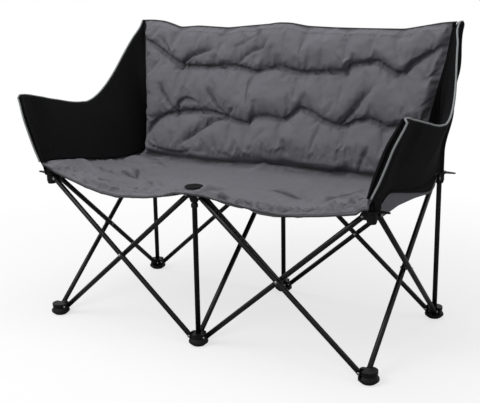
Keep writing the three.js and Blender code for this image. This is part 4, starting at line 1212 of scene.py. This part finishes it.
def build_seat(sizes):
    top, low, split = seat_grids(sizes)
    x, y = top[:, :, 0], top[:, :, 1]
    pull = crease_depths(x, y, SEAT_CREASES)
    held = np.maximum(border(top), rise(pull, start=0.003, reach=0.004) * SEAT_CREASE_HOLD)
    for sign in COLUMNS.values():
        for depth in (-HALF_DEPTH, HALF_DEPTH):
            held = np.maximum(held, near(x, y, (sign * BAY, depth), 0.035))
    top, low = swell(top, low, held, sizes.pressure / 2, sizes.growth / 2, SEAT_CAP)
    top, low = refine(top), refine(low)
    lift, fold = seat_relief(top, low)
    top = raised(top, (0, 0, 1), lift)
    cut = 2 * split
    seat_half("front", top[:cut + 1], low[:cut + 1], fold[:cut + 1], -1, -SPLIT_GAP / 2)
    seat_half("rear", top[cut:], low[cut:], fold[cut:], 0, SPLIT_GAP / 2)
    return top, low


# Side panels

# Height of the lower edge of the flap under a side panel, by depth
SKIRT = [
    (-0.31, 0.492), (-0.262, 0.490), (-0.232, 0.499), (-0.190, 0.5135), (-0.163, 0.5145), (-0.0975, 0.501),
    (-0.015, 0.4834), (0.060, 0.468), (0.115, 0.457), (0.165, 0.451), (0.183, 0.4525), (0.214, 0.475),
    (0.245, 0.490), (0.300, 0.497),
]
ARM_ROLL_Y = -0.2905
ARM_ROLL_REACH = 0.0155
ARM_ROLL_HALF = 0.0105
SLEEVE_SLACK_X = 0.006
SLEEVE_SLACK_Y = 0.013
POST_ROLL_Y = 0.2835
POST_ROLL_REACH = 0.0155
POST_ROLL_HALF = 0.0122
PANEL_HALF = 0.0055
PANEL_GAP = 0.00002
PANEL_EDGE_HALF = 0.0006
PANEL_CLEAR = 0.0015
ARM_PULL_END = -HALF_DEPTH + 0.12
LEAN_REACH = 0.09
SLACK_END = ARM_ROLL_Y + 0.012
PANEL_PUFF = 0.004
ARM_SQUARENESS = 3.4
SKIRT_TUCK = -0.27
SKIRT_THICK = 0.0035
SKIRT_CLEAR = 0.0052
SKIRT_FLARE = 0.008


def panel_top(y):
    """Place and height of a side panel's top edge."""
    front = through(ARM_LINE, y, reach=0.014)
    t = np.clip((y - PANEL_JOIN) / (HALF_DEPTH - POST_INSET - PANEL_JOIN), 0, 1)
    x = mix(PANEL_TOP_X, BAY + POST_SPREAD, t ** SPREAD_POWER)
    z = np.where(y <= PANEL_JOIN, front, mix(PANEL_LOW_TOP, BACK_TOP, t ** RISE_POWER))
    return x, z


def panel_middle(y, v):
    """The middle of a panel's thickness at a depth and a share of its height."""
    top_x, top_z = panel_top(y)
    low = seat_top(np.full(y.shape, PANEL_BOTTOM_X), y) + PANEL_CLEAR
    z = mix(low, top_z, v)
    x = mix(PANEL_BOTTOM_X, top_x, v)
    arm = fall(y, end=ARM_PULL_END, reach=0.09)
    pole = BAY + ARM_LEAN * (z - ARM_HINGE) / (ARM_TOP - ARM_HINGE)
    x = mix(x, pole, arm)
    post_x, post_y = post_centre(1, z)
    x = mix(x, post_x, joins_post(y))
    lean = (post_y - HALF_DEPTH) * smooth((y - HALF_DEPTH + LEAN_REACH) / LEAN_REACH)
    return x, y + lean, z


def roll(y, centre, reach, half, squareness=2.0):
    """Half thickness of a sleeve about its centre: an oval, or a squarer form with flatter sides."""
    away = np.clip(np.abs(y - centre) / reach, 0, 1)
    return half * (1 - away ** squareness) ** (1 / squareness)


def panel_stations(sizes, part):
    """Depths of a panel's columns, close together round its sleeve."""
    turn = np.cos(np.radians(np.linspace(0, 125, 13)))
    if part == "front":
        sleeve, end = ARM_ROLL_Y - ARM_ROLL_REACH * turn, PANEL_JOIN - PANEL_GAP / 2
    else:
        sleeve, end = POST_ROLL_Y + POST_ROLL_REACH * turn, PANEL_JOIN + PANEL_GAP / 2
    count = int(round(abs(end - sleeve[-1]) / (sizes.cloth_pitch * 0.7)))
    columns = np.concatenate([sleeve, np.linspace(sleeve[-1], end, count + 1)[1:]])
    return columns if part == "front" else columns[::-1]


def joins_post(y):
    """1 where a side panel has closed round the outer post."""
    return smooth((y - HALF_DEPTH + POST_JOIN_REACH + POST_JOIN_FADE) / POST_JOIN_FADE)


def panel_grids(sizes, side, part):
    """The outer and inner sides of a panel, from its lowest row up to its top edge."""
    y = panel_stations(sizes, part)[None, :]
    v = np.concatenate([np.linspace(0, 1, 36)[:-1], [0.985, 0.995, 1.0]])[:, None]
    y, v = np.broadcast_arrays(y, v)
    x, place_y, z = panel_middle(y, v)
    x0, _, z0 = panel_middle(y, np.zeros(y.shape))
    x1, _, z1 = panel_middle(y, np.ones(y.shape))
    slope = np.arctan2(x1 - x0, z1 - z0)
    narrow = mix(0.75, 1, rise(v, start=0, reach=0.22)) * (1 + 0.35 * np.sin(math.pi * v ** 0.8))
    arm_roll = roll(y, ARM_ROLL_Y, ARM_ROLL_REACH, ARM_ROLL_HALF, ARM_SQUARENESS) * narrow
    post_roll = roll(y, POST_ROLL_Y, POST_ROLL_REACH, POST_ROLL_HALF)
    web = np.where((y > ARM_ROLL_Y) & (y < POST_ROLL_Y), PANEL_HALF, PANEL_EDGE_HALF)
    half = np.maximum(np.maximum(arm_roll, post_roll), web)
    half = half * mix(0.3, 1, np.sqrt(np.clip((1 - v) / 0.02, 0, 1)))
    puff = PANEL_PUFF * np.sin(math.pi * v)
    puff = puff * rise(y, start=-0.24, reach=0.08) * fall(y, end=0.22, reach=0.06)
    wing = WING_BULGE * joins_post(y) * rise(z, start=WING_START, reach=WING_FADE)
    wing *= fall(z, end=WING_END, reach=WING_FADE)
    wing *= np.where(y > POST_ROLL_Y, roll(y, POST_ROLL_Y, POST_ROLL_REACH, 1.0), 1)
    slack = fall(y, end=SLACK_END, reach=0.02) * fall(v, end=1, reach=0.4)
    x, place_y = x - SLEEVE_SLACK_X * slack, place_y - SLEEVE_SLACK_Y * slack
    wide, slim = half + puff + wing, half + puff
    lean_x, lean_z = np.cos(slope), np.sin(slope) * v
    outer = np.stack([side * (x + wide * lean_x), place_y, z - wide * lean_z], 2)
    inner = np.stack([side * (x - slim * lean_x), place_y, z + slim * lean_z], 2)
    return outer, inner


def with_skirt(outer, inner, side):
    """Adds the flap that hangs over the seat's edge, below the panel's lowest row."""
    above = outer[0, :, 1]
    tucked = np.where(above < SKIRT_TUCK, (above + SKIRT_TUCK) / 2, above)
    hem = np.minimum(through(SKIRT, tucked), outer[0, :, 2] - 0.002)
    rows_out, rows_in = [], []
    for share, gap in ((1.0, 0.0), (0.5, 0.0004), (0.08, 0.0)):
        z = mix(outer[0, :, 2], hem, share)
        y = mix(above, tucked, min(1, 0.3 + share))
        reach = side * (SEAT_HALF + SKIRT_CLEAR + gap + SKIRT_FLARE * fall(y, end=-0.235, reach=0.025))
        rows_out.append(np.stack([reach, y, z], 1))
        rows_in.append(np.stack([reach - side * SKIRT_THICK, y, z], 1))
    return np.concatenate([rows_out, outer]), np.concatenate([rows_in, inner])


def build_panels(sizes):
    edges = {}
    for name, side in SIDES.items():
        for part in ("front", "rear"):
            outer, inner = panel_grids(sizes, side, part)
            edges[name, part] = (outer, inner)
            outer, inner = with_skirt(outer, inner, side)
            joint = np.zeros(outer.shape[:2], bool)
            joint[:, -1 if part == "front" else 0] = True
            piece = pad(f"side_cloth_{name}_{part}", outer, inner, [MATERIALS["black_side"]], crisp=joint)
            gathered(piece, f"side_panel_{name}_{part}", SIDE_FILL)
    return edges


# Piping and bindings

PIPING_COLUMN = 3
TOP_PIPING_SHIFT = (0.0006, 0.0, 0.0017)
FRONT_PIPING_SHIFT = (0.0020, -0.0014, 0.0)
BACK_TAPE, HEM_TAPE = 0.0065, 0.0020


def build_piping(edges, sizes):
    for (name, part), (outer, inner) in edges.items():
        mirror = np.array([SIDES[name], 1, 1])
        line = (outer[-2] + inner[-2]) / 2 + mirror * TOP_PIPING_SHIFT
        if part == "front":
            front_edge = outer[:-3, PIPING_COLUMN] + mirror * FRONT_PIPING_SHIFT
            line = np.concatenate([front_edge, line[PIPING_COLUMN:]])
        piece = swept(f"piping_{name}_{part}", line, sizes.piping_radius, MATERIALS["piping"])
        gathered(piece, f"side_panel_{name}_{part}")


def build_bindings(back, seat):
    front, rear = back
    line = (front[-1] + rear[-1]) / 2 + np.array([0.0, 0.0, 0.001])
    piece = swept("binding_back_top", line, BACK_TAPE, MATERIALS["binding"], flatten=0.35)
    gathered(piece, "back_pad")
    top, low = seat
    line = mix(top[0], low[0], 0.88) + np.array([0.0, -0.0006, 0.0])
    piece = swept("binding_seat_hem", line, HEM_TAPE, MATERIALS["binding"], flatten=1.2)
    gathered(piece, "seat_pad_front")


# Geometry Nodes

# Threads lie this far proud of the cloth, and cover this share of each stitch
THREAD_LIFT = 0.0004
STITCH_SHARE = 0.62
HEM_STITCH_ROW = 6
SLEEVE_SEAM = {"front": -0.258, "rear": 0.256}


def socket_id(tree, label):
    """The identifier of a node tree's named input."""
    return next(s.identifier for s in tree.interface.items_tree if s.name == label and s.in_out == "INPUT")


def rivet_spots(tree, given):
    """The host's points, each with its own direction."""
    settings, sockets = {"data_type": "FLOAT_VECTOR"}, {"Name": "facing"}
    facing = add_node(tree, "GeometryNodeInputNamedAttribute", settings, sockets)
    return given["Geometry"], facing.outputs["Attribute"]


def stitch_spots(tree, given):
    """Even steps along the host's line, each facing along it."""
    curve = add_node(tree, "GeometryNodeMeshToCurve", sockets={"Mesh": given["Geometry"]})
    even = add_node(tree, "GeometryNodeResampleCurve", {"mode": "LENGTH"}, {
        "Curve": curve.outputs["Curve"], "Length": given["Pitch"],
    })
    return even.outputs["Curve"], add_node(tree, "GeometryNodeInputTangent").outputs["Tangent"]


def bead_tree(name, labels, wide, tall, bead, rounded, spots):
    """A node tree that puts a bead on each spot: wide and tall name the inputs for its radius and height."""
    tree = bpy.data.node_groups.new(name, "GeometryNodeTree")
    kinds = {"Geometry": "NodeSocketGeometry", "Material": "NodeSocketMaterial"}
    for label in ("Geometry", *labels, "Material"):
        kind = kinds.get(label, "NodeSocketFloat")
        tree.interface.new_socket(name=label, in_out="INPUT", socket_type=kind)
    tree.interface.new_socket(name="Geometry", in_out="OUTPUT", socket_type="NodeSocketGeometry")
    given, end = tree.nodes.new("NodeGroupInput").outputs, tree.nodes.new("NodeGroupOutput")
    points, direction = spots(tree, given)
    ball = add_node(tree, "GeometryNodeMeshUVSphere", sockets=bead)
    shaded = add_node(tree, "GeometryNodeSetShadeSmooth", sockets={
        "Geometry": ball.outputs["Mesh"], "Shade Smooth": rounded,
    })
    size = add_node(tree, "ShaderNodeCombineXYZ", sockets={
        "X": given[wide], "Y": given[wide], "Z": given[tall],
    })
    shaped = add_node(tree, "GeometryNodeTransform", sockets={
        "Geometry": shaded.outputs["Geometry"], "Scale": size.outputs["Vector"],
    })
    turn = add_node(tree, "FunctionNodeAlignRotationToVector", {"axis": "Z"}, {"Vector": direction})
    beads = add_node(tree, "GeometryNodeInstanceOnPoints", sockets={
        "Points": points, "Instance": shaped.outputs["Geometry"], "Rotation": turn.outputs["Rotation"],
    })
    real = add_node(tree, "GeometryNodeRealizeInstances", sockets={"Geometry": beads.outputs["Instances"]})
    coated = add_node(tree, "GeometryNodeSetMaterial", sockets={
        "Geometry": real.outputs["Geometry"], "Material": given["Material"],
    })
    tree.links.new(coated.outputs["Geometry"], end.inputs["Geometry"])
    return tree


def rivet_tree():
    labels, bead = ("Head radius", "Head height"), {"Segments": 16, "Rings": 8, "Radius": 1.0}
    return bead_tree("rivet heads", labels, *labels, bead, True, rivet_spots)


def stitch_tree():
    labels, bead = ("Pitch", "Length", "Thickness"), {"Segments": 6, "Rings": 4, "Radius": 0.5}
    return bead_tree("stitches", labels, "Thickness", "Length", bead, False, stitch_spots)


def grown(name, host, tree, values):
    """The plain mesh that a node tree grows on a host, which is then removed."""
    modifier = host.modifiers.new("grow", "NODES")
    modifier.node_group = tree
    for label, value in values.items():
        modifier[socket_id(tree, label)] = value
    evaluated = host.evaluated_get(bpy.context.evaluated_depsgraph_get())
    mesh = bpy.data.meshes.new_from_object(evaluated)
    made = bpy.data.objects.new(name, mesh)
    bpy.context.scene.collection.objects.link(made)
    removed(host)
    return made


def rivet_places():
    """Rivet heads by body: (place, facing) pairs."""
    found = {}
    for row in ROWS:
        for column in COLUMNS:
            for kind, height in (("foot", FOOT_PIVOT), ("hub", HUB_PIVOT)):
                heads = found.setdefault(body_with(f"{kind}_{row}_{column}"), [])
                for direction in neighbours(row, column):
                    pivot = node_place(row, column) + direction * PIVOT_REACH
                    pivot[2] = height
                    sideways = np.cross([0.0, 0.0, 1.0], direction)
                    if kind == "hub":
                        sideways = -sideways
                    heads.append((pivot + sideways * LUG_FAR, sideways))
                    heads.append((pivot - sideways * LUG_NEAR, -sideways))
    for name, (first, second) in SCISSORS.items():
        start, end = node_place(*first), node_place(*second)
        low, high = tube_ends(start, end)
        sideways = np.cross([0.0, 0.0, 1.0], (end - start) / np.linalg.norm(end - start))
        middle = (low + high) / 2 - sideways * LATERAL
        heads = found.setdefault(body_with(f"pin_{name}"), [])
        heads.append((middle + sideways * LUG_FAR, sideways))
        heads.append((middle - sideways * LUG_FAR, -sideways))
    return found


def build_rivets(sizes):
    tree = rivet_tree()
    for body, heads in rivet_places().items():
        host = new_object(f"points_{body}", [place for place, _ in heads], [], [])
        facing = host.data.attributes.new("facing", "FLOAT_VECTOR", "POINT")
        facing.data.foreach_set("vector", np.array([f for _, f in heads], np.float32).ravel())
        piece = grown(f"rivets_{body}", host, tree, {
            "Head radius": sizes.rivet_radius, "Head height": sizes.rivet_height,
            "Material": MATERIALS["steel"],
        })
        placed(piece, body, "rivet_steel")


def stitch_line(name, line, tree, node, sizes, thread="thread"):
    mesh = bpy.data.meshes.new(name)
    mesh.from_pydata([tuple(p) for p in line], [(k, k + 1) for k in range(len(line) - 1)], [])
    host = bpy.data.objects.new(name, mesh)
    bpy.context.scene.collection.objects.link(host)
    piece = grown(name, host, tree, {
        "Pitch": sizes.stitch_pitch, "Length": sizes.stitch_pitch * STITCH_SHARE,
        "Thickness": sizes.stitch_thickness, "Material": MATERIALS[thread],
    })
    gathered(piece, node)


def build_stitches(back, seat, panels, sizes):
    tree = stitch_tree()
    hem = raised(seat[0], (0, 0, 1), THREAD_LIFT)[HEM_STITCH_ROW]
    stitch_line("stitches_seat_hem", hem, tree, "seat_pad_front", sizes)
    top = raised(back[0], (0, -1, 0), THREAD_LIFT)[-HEM_STITCH_ROW]
    stitch_line("stitches_back_top", top, tree, "back_pad", sizes)
    for (name, part), sides in panels.items():
        node = f"side_panel_{name}_{part}"
        for label, grid, sign in zip(("outer", "inner"), sides, (1, -1)):
            column = int(np.argmin(np.abs(grid[0, :, 1] - SLEEVE_SEAM[part])))
            line = raised(grid, (SIDES[name] * sign, 0, 0), THREAD_LIFT)[1:-3, column]
            stitch_line(f"stitches_{name}_{part}_{label}", line, tree, node, sizes, "dark_thread")


# Stage

FLOOR_HALF = 30.0
SENSOR_WIDTH = 36.0
LAMP_AIM = (0, 0, 0.5)
WHITE_FROM, WHITE_AT = 0.5, 2.2
NEAR_WHITE = 0.68
LAMPS = {
    # place and width, in metres
    "key": ((-1.2, -2.6, 3.2), 2.2),
    "side": ((2.8, -2.2, 2.2), 2.2),
    "top": ((0.2, 0.2, 3.6), 2.6),
}


def make_world(stage):
    """White where the camera, gloss or glass sees it, and a softer fill light for the rest."""
    world = bpy.data.worlds.new("studio")
    bpy.context.scene.world = world
    world.use_nodes = True
    tree = world.node_tree
    background = tree.nodes["Background"]
    path = add_node(tree, "ShaderNodeLightPath").outputs
    seen = sums(tree, "MAXIMUM", path["Is Camera Ray"], path["Is Glossy Ray"])
    seen = sums(tree, "MAXIMUM", seen, path["Is Transmission Ray"])
    strength = sums(tree, "ADD", sums(tree, "MULTIPLY", seen, 1 - stage.fill), stage.fill)
    background.inputs["Color"].default_value = (1, 1, 1, 1)
    tree.links.new(strength, background.inputs["Strength"])


def make_floor():
    corners = [(x * FLOOR_HALF, y * FLOOR_HALF, 0) for x, y in ((-1, -1), (1, -1), (1, 1), (-1, 1))]
    new_object("floor", corners, [(0, 1, 2, 3)], [floor_material()], smooth_faces=False)


def make_lamps(stage):
    for name, (place, width) in LAMPS.items():
        data = bpy.data.lights.new(name, "AREA")
        data.shape = "SQUARE"
        data.size = width
        data.energy = getattr(stage, name)
        lamp = bpy.data.objects.new(name, data)
        lamp.location = place
        aim = Vector(LAMP_AIM) - Vector(place)
        lamp.rotation_euler = aim.to_track_quat("-Z", "Y").to_euler()
        bpy.context.scene.collection.objects.link(lamp)


def make_camera(stage):
    data = bpy.data.cameras.new("camera")
    data.lens = stage.lens
    data.sensor_width = SENSOR_WIDTH
    camera = bpy.data.objects.new("camera", data)
    bpy.context.scene.collection.objects.link(camera)
    camera.location = stage.camera
    turn, slope = stage.azimuth, stage.elevation
    back = Vector((math.sin(turn) * math.cos(slope), -math.cos(turn) * math.cos(slope), math.sin(slope)))
    right = Vector((math.cos(turn), math.sin(turn), 0.0))
    tilted = right * math.cos(stage.roll) + back.cross(right) * math.sin(stage.roll)
    axes = np.array([tilted, back.cross(tilted), back]).T
    camera.rotation_euler = Matrix(axes.tolist()).to_euler()
    bpy.context.scene.camera = camera


def make_stage(stage):
    bpy.context.scene.view_settings.view_transform = "Standard"
    make_world(stage)
    make_floor()
    make_lamps(stage)
    make_camera(stage)


def floor_material():
    """A pale floor under the chair that turns to plain white further out."""
    made, tree, shader = new_material("studio_floor")
    tree.nodes.remove(shader)
    end = tree.nodes["Material Output"]
    place = object_place(tree)
    away = add_node(tree, "ShaderNodeVectorMath", {"operation": "LENGTH"}, {0: place}).outputs["Value"]
    far = add_node(tree, "ShaderNodeMapRange", {"interpolation_type": "SMOOTHSTEP"}, {
        "Value": away, "From Min": WHITE_FROM, "From Max": WHITE_AT, "To Min": NEAR_WHITE, "To Max": 1.0,
    }).outputs["Result"]
    path = add_node(tree, "ShaderNodeLightPath").outputs["Is Camera Ray"]
    grain = noise(tree, place, scale=30.0, detail=4.0)
    tone = ramp(tree, grain, [(0.3, (0.93, 0.93, 0.93)), (0.7, (0.95, 0.95, 0.95))])
    muted = ramp(tree, path, [(0.0, (0.55, 0.55, 0.55)), (1.0, (1.0, 1.0, 1.0))])
    lit = add_node(tree, "ShaderNodeBsdfDiffuse", sockets={"Color": multiplied(tree, tone, muted)})
    white = add_node(tree, "ShaderNodeEmission", sockets={"Color": (1, 1, 1, 1), "Strength": 1.0})
    both = add_node(tree, "ShaderNodeMixShader", sockets={
        0: sums(tree, "MULTIPLY", far, path), 1: lit.outputs[0], 2: white.outputs[0],
    })
    tree.links.new(both.outputs[0], end.inputs["Surface"])
    return made


# Settings, operators and panel

def length_setting(name, description, value, low, high):
    return FloatProperty(name=name, description=description, default=value, min=low, max=high, unit="LENGTH",
                         precision=4)


def colour_setting(name, description, value):
    return FloatVectorProperty(name=name, description=description, default=value, subtype="COLOR", size=3,
                               min=0, max=1)


def angle_setting(name, description, degrees):
    return FloatProperty(name=name, description=description, default=math.radians(degrees), subtype="ANGLE")


def power_setting(name, description, watts):
    return FloatProperty(name=name, description=description, default=watts, unit="POWER")


class LoveseatSizes(bpy.types.PropertyGroup):
    """Sizes of the frame's dressing and of the fabric."""

    tube_radius: length_setting("Tube radius", "Outer radius of the steel tubes", 0.008, 0.004, 0.02)
    arm_radius: length_setting("Arm pole radius", "Outer radius of the arm poles", 0.0065, 0.004, 0.02)
    moulding_round: length_setting("Moulding rounding", "Rounding of the plastic edges", 0.0006, 0.0, 0.003)
    rivet_radius: length_setting("Rivet head radius", "Radius of a domed rivet head", 0.0047, 0.003, 0.01)
    rivet_height: length_setting("Rivet head height", "Height of a domed rivet head", 0.0026, 0.001, 0.006)
    cloth_pitch: length_setting("Cloth pitch", "Spacing of the simulated points", 0.0078, 0.004, 0.03)
    back_crown: length_setting("Back crown", "How far each channel of the back stands out", 0.018, 0.0, 0.03)
    pressure: FloatProperty(name="Pressure", description="Pressure that swells the padded cloth",
                            default=4.0, min=0.0, max=20.0)
    growth: FloatProperty(name="Spare cloth", description="Share of spare cloth that lets it wrinkle",
                          default=0.045, min=0.0, max=0.4, subtype="FACTOR")
    piping_radius: length_setting("Piping radius", "Radius of the piping on the sides", 0.0029, 0.0005, 0.01)
    stitch_pitch: length_setting("Stitch pitch", "Distance from stitch to stitch", 0.0045, 0.001, 0.02)
    stitch_thickness: length_setting("Thread thickness", "Thickness of the sewing thread",
                                     0.0011, 0.0002, 0.004)


class LoveseatFinish(bpy.types.PropertyGroup):
    """Colours of the fabric, plastic and steel, and the weave."""

    grey_fabric: colour_setting("Grey fabric", "Colour of the seat and back", (0.139, 0.136, 0.152))
    black_fabric: colour_setting("Black fabric", "Colour of the sides and underside",
                                 (0.0076, 0.0077, 0.0084))
    piping: colour_setting("Piping", "Colour of the piping on the side panels", (0.27, 0.285, 0.29))
    binding: colour_setting("Binding", "Colour of the tape on the hem and back", (0.045, 0.045, 0.048))
    stitches: colour_setting("Thread", "Colour of the sewing thread", (0.10, 0.10, 0.105))
    tube: colour_setting("Tubes", "Colour of the powder coat", (0.0034, 0.0034, 0.0038))
    plastic: colour_setting("Plastic", "Colour of the feet, hubs and disc", (0.0042, 0.0042, 0.0046))
    steel: colour_setting("Rivets", "Colour of the plated rivets", (0.26, 0.265, 0.275))
    thread: length_setting("Thread spacing", "Spacing of the threads in the weave", 0.0016, 0.0004, 0.01)


class LoveseatStage(bpy.types.PropertyGroup):
    """Camera and lamps."""

    camera: FloatVectorProperty(name="Camera", description="Place of the camera",
                                subtype="TRANSLATION", size=3, default=(1.389, -2.342, 1.058))
    azimuth: angle_setting("Azimuth", "Turn of the camera round the chair", 30.858)
    elevation: angle_setting("Elevation", "Downward slope of the view", 13.745)
    roll: angle_setting("Roll", "Tilt of the camera about its own axis", -0.985)
    lens: FloatProperty(name="Lens", description="Focal length", default=64.70, min=20, max=200,
                        unit="CAMERA")
    key: power_setting("Key lamp", "Power of the large lamp in front", 84.0)
    side: power_setting("Side lamp", "Power of the lamp on the right", 3.0)
    top: power_setting("Top lamp", "Power of the lamp overhead", 42.0)
    fill: FloatProperty(name="Fill", description="Light from all round", default=0.38, min=0, max=1)


BUILT = {}


class LOVESEAT_OT_stage(bpy.types.Operator):
    """Makes the floor, the lamps and the camera"""

    bl_idname = "loveseat.stage"
    bl_label = "Stage"

    def execute(self, context):
        make_stage(context.scene.loveseat_stage)
        return {"FINISHED"}


class LOVESEAT_OT_materials(bpy.types.Operator):
    """Makes the finishes of fabric, plastic and steel"""

    bl_idname = "loveseat.materials"
    bl_label = "Materials"

    def execute(self, context):
        make_materials(context.scene.loveseat_finish)
        return {"FINISHED"}


class LOVESEAT_OT_tubes(bpy.types.Operator):
    """Makes the scissor tubes, back posts, front strut and arm poles"""

    bl_idname = "loveseat.tubes"
    bl_label = "Tubes"

    def execute(self, context):
        sizes = context.scene.loveseat_sizes
        scissor_tubes(sizes)
        posts(sizes)
        strut(sizes)
        arm_poles(sizes)
        return {"FINISHED"}


class LOVESEAT_OT_mouldings(bpy.types.Operator):
    """Rounds and finishes the feet, hubs, crossing pins and clamp disc"""

    bl_idname = "loveseat.mouldings"
    bl_label = "Mouldings"

    def execute(self, context):
        dress_mouldings(context.scene.loveseat_sizes)
        return {"FINISHED"}


class LOVESEAT_OT_rivets(bpy.types.Operator):
    """Puts a domed head on both ends of every rivet"""

    bl_idname = "loveseat.rivets"
    bl_label = "Rivets"

    def execute(self, context):
        build_rivets(context.scene.loveseat_sizes)
        return {"FINISHED"}


class LOVESEAT_OT_back(bpy.types.Operator):
    """Makes the quilted back cushion"""

    bl_idname = "loveseat.back"
    bl_label = "Back cushion"

    def execute(self, context):
        BUILT["back"] = build_back(context.scene.loveseat_sizes)
        return {"FINISHED"}


class LOVESEAT_OT_seat(bpy.types.Operator):
    """Makes the two halves of the seat cushion"""

    bl_idname = "loveseat.seat"
    bl_label = "Seat cushion"

    def execute(self, context):
        BUILT["seat"] = build_seat(context.scene.loveseat_sizes)
        return {"FINISHED"}


class LOVESEAT_OT_panels(bpy.types.Operator):
    """Makes the side panels over the arm poles and outer posts"""

    bl_idname = "loveseat.panels"
    bl_label = "Side panels"

    def execute(self, context):
        BUILT["panels"] = build_panels(context.scene.loveseat_sizes)
        return {"FINISHED"}


class LOVESEAT_OT_trim(bpy.types.Operator):
    """Makes the piping and the bound edges"""

    bl_idname = "loveseat.trim"
    bl_label = "Piping and bindings"

    def execute(self, context):
        build_piping(BUILT["panels"], context.scene.loveseat_sizes)
        build_bindings(BUILT["back"], BUILT["seat"])
        return {"FINISHED"}


class LOVESEAT_OT_stitches(bpy.types.Operator):
    """Sews the seams of the seat, back and side panels"""

    bl_idname = "loveseat.stitches"
    bl_label = "Stitches"

    def execute(self, context):
        build_stitches(BUILT["back"], BUILT["seat"], BUILT["panels"], context.scene.loveseat_sizes)
        return {"FINISHED"}


OPERATORS = (
    LOVESEAT_OT_stage, LOVESEAT_OT_materials, LOVESEAT_OT_tubes, LOVESEAT_OT_mouldings, LOVESEAT_OT_rivets,
    LOVESEAT_OT_back, LOVESEAT_OT_seat, LOVESEAT_OT_panels, LOVESEAT_OT_trim, LOVESEAT_OT_stitches,
)


class LOVESEAT_PT_build(bpy.types.Panel):
    """Lists the steps that build the chair, with their sizes and finishes"""

    bl_label = "Loveseat"
    bl_idname = "LOVESEAT_PT_build"
    bl_space_type = "VIEW_3D"
    bl_region_type = "UI"
    bl_category = "Loveseat"

    def draw(self, context):
        scene = context.scene
        for operator in OPERATORS:
            self.layout.operator(operator.bl_idname)
        for settings in (scene.loveseat_sizes, scene.loveseat_finish, scene.loveseat_stage):
            box = self.layout.box()
            for name in settings.__annotations__:
                box.prop(settings, name)


SETTINGS = {
    "loveseat_sizes": LoveseatSizes,
    "loveseat_finish": LoveseatFinish,
    "loveseat_stage": LoveseatStage,
}


def register():
    for kind in (*SETTINGS.values(), *OPERATORS, LOVESEAT_PT_build):
        bpy.utils.register_class(kind)
    for name, kind in SETTINGS.items():
        setattr(bpy.types.Scene, name, PointerProperty(type=kind))


def unregister():
    for name in SETTINGS:
        delattr(bpy.types.Scene, name)
    for kind in (LOVESEAT_PT_build, *OPERATORS, *SETTINGS.values()):
        bpy.utils.unregister_class(kind)


def main():
    register()
    for operator in OPERATORS:
        group, name = operator.bl_idname.split(".")
        getattr(getattr(bpy.ops, group), name)()


if __name__ == "__main__":
    main()
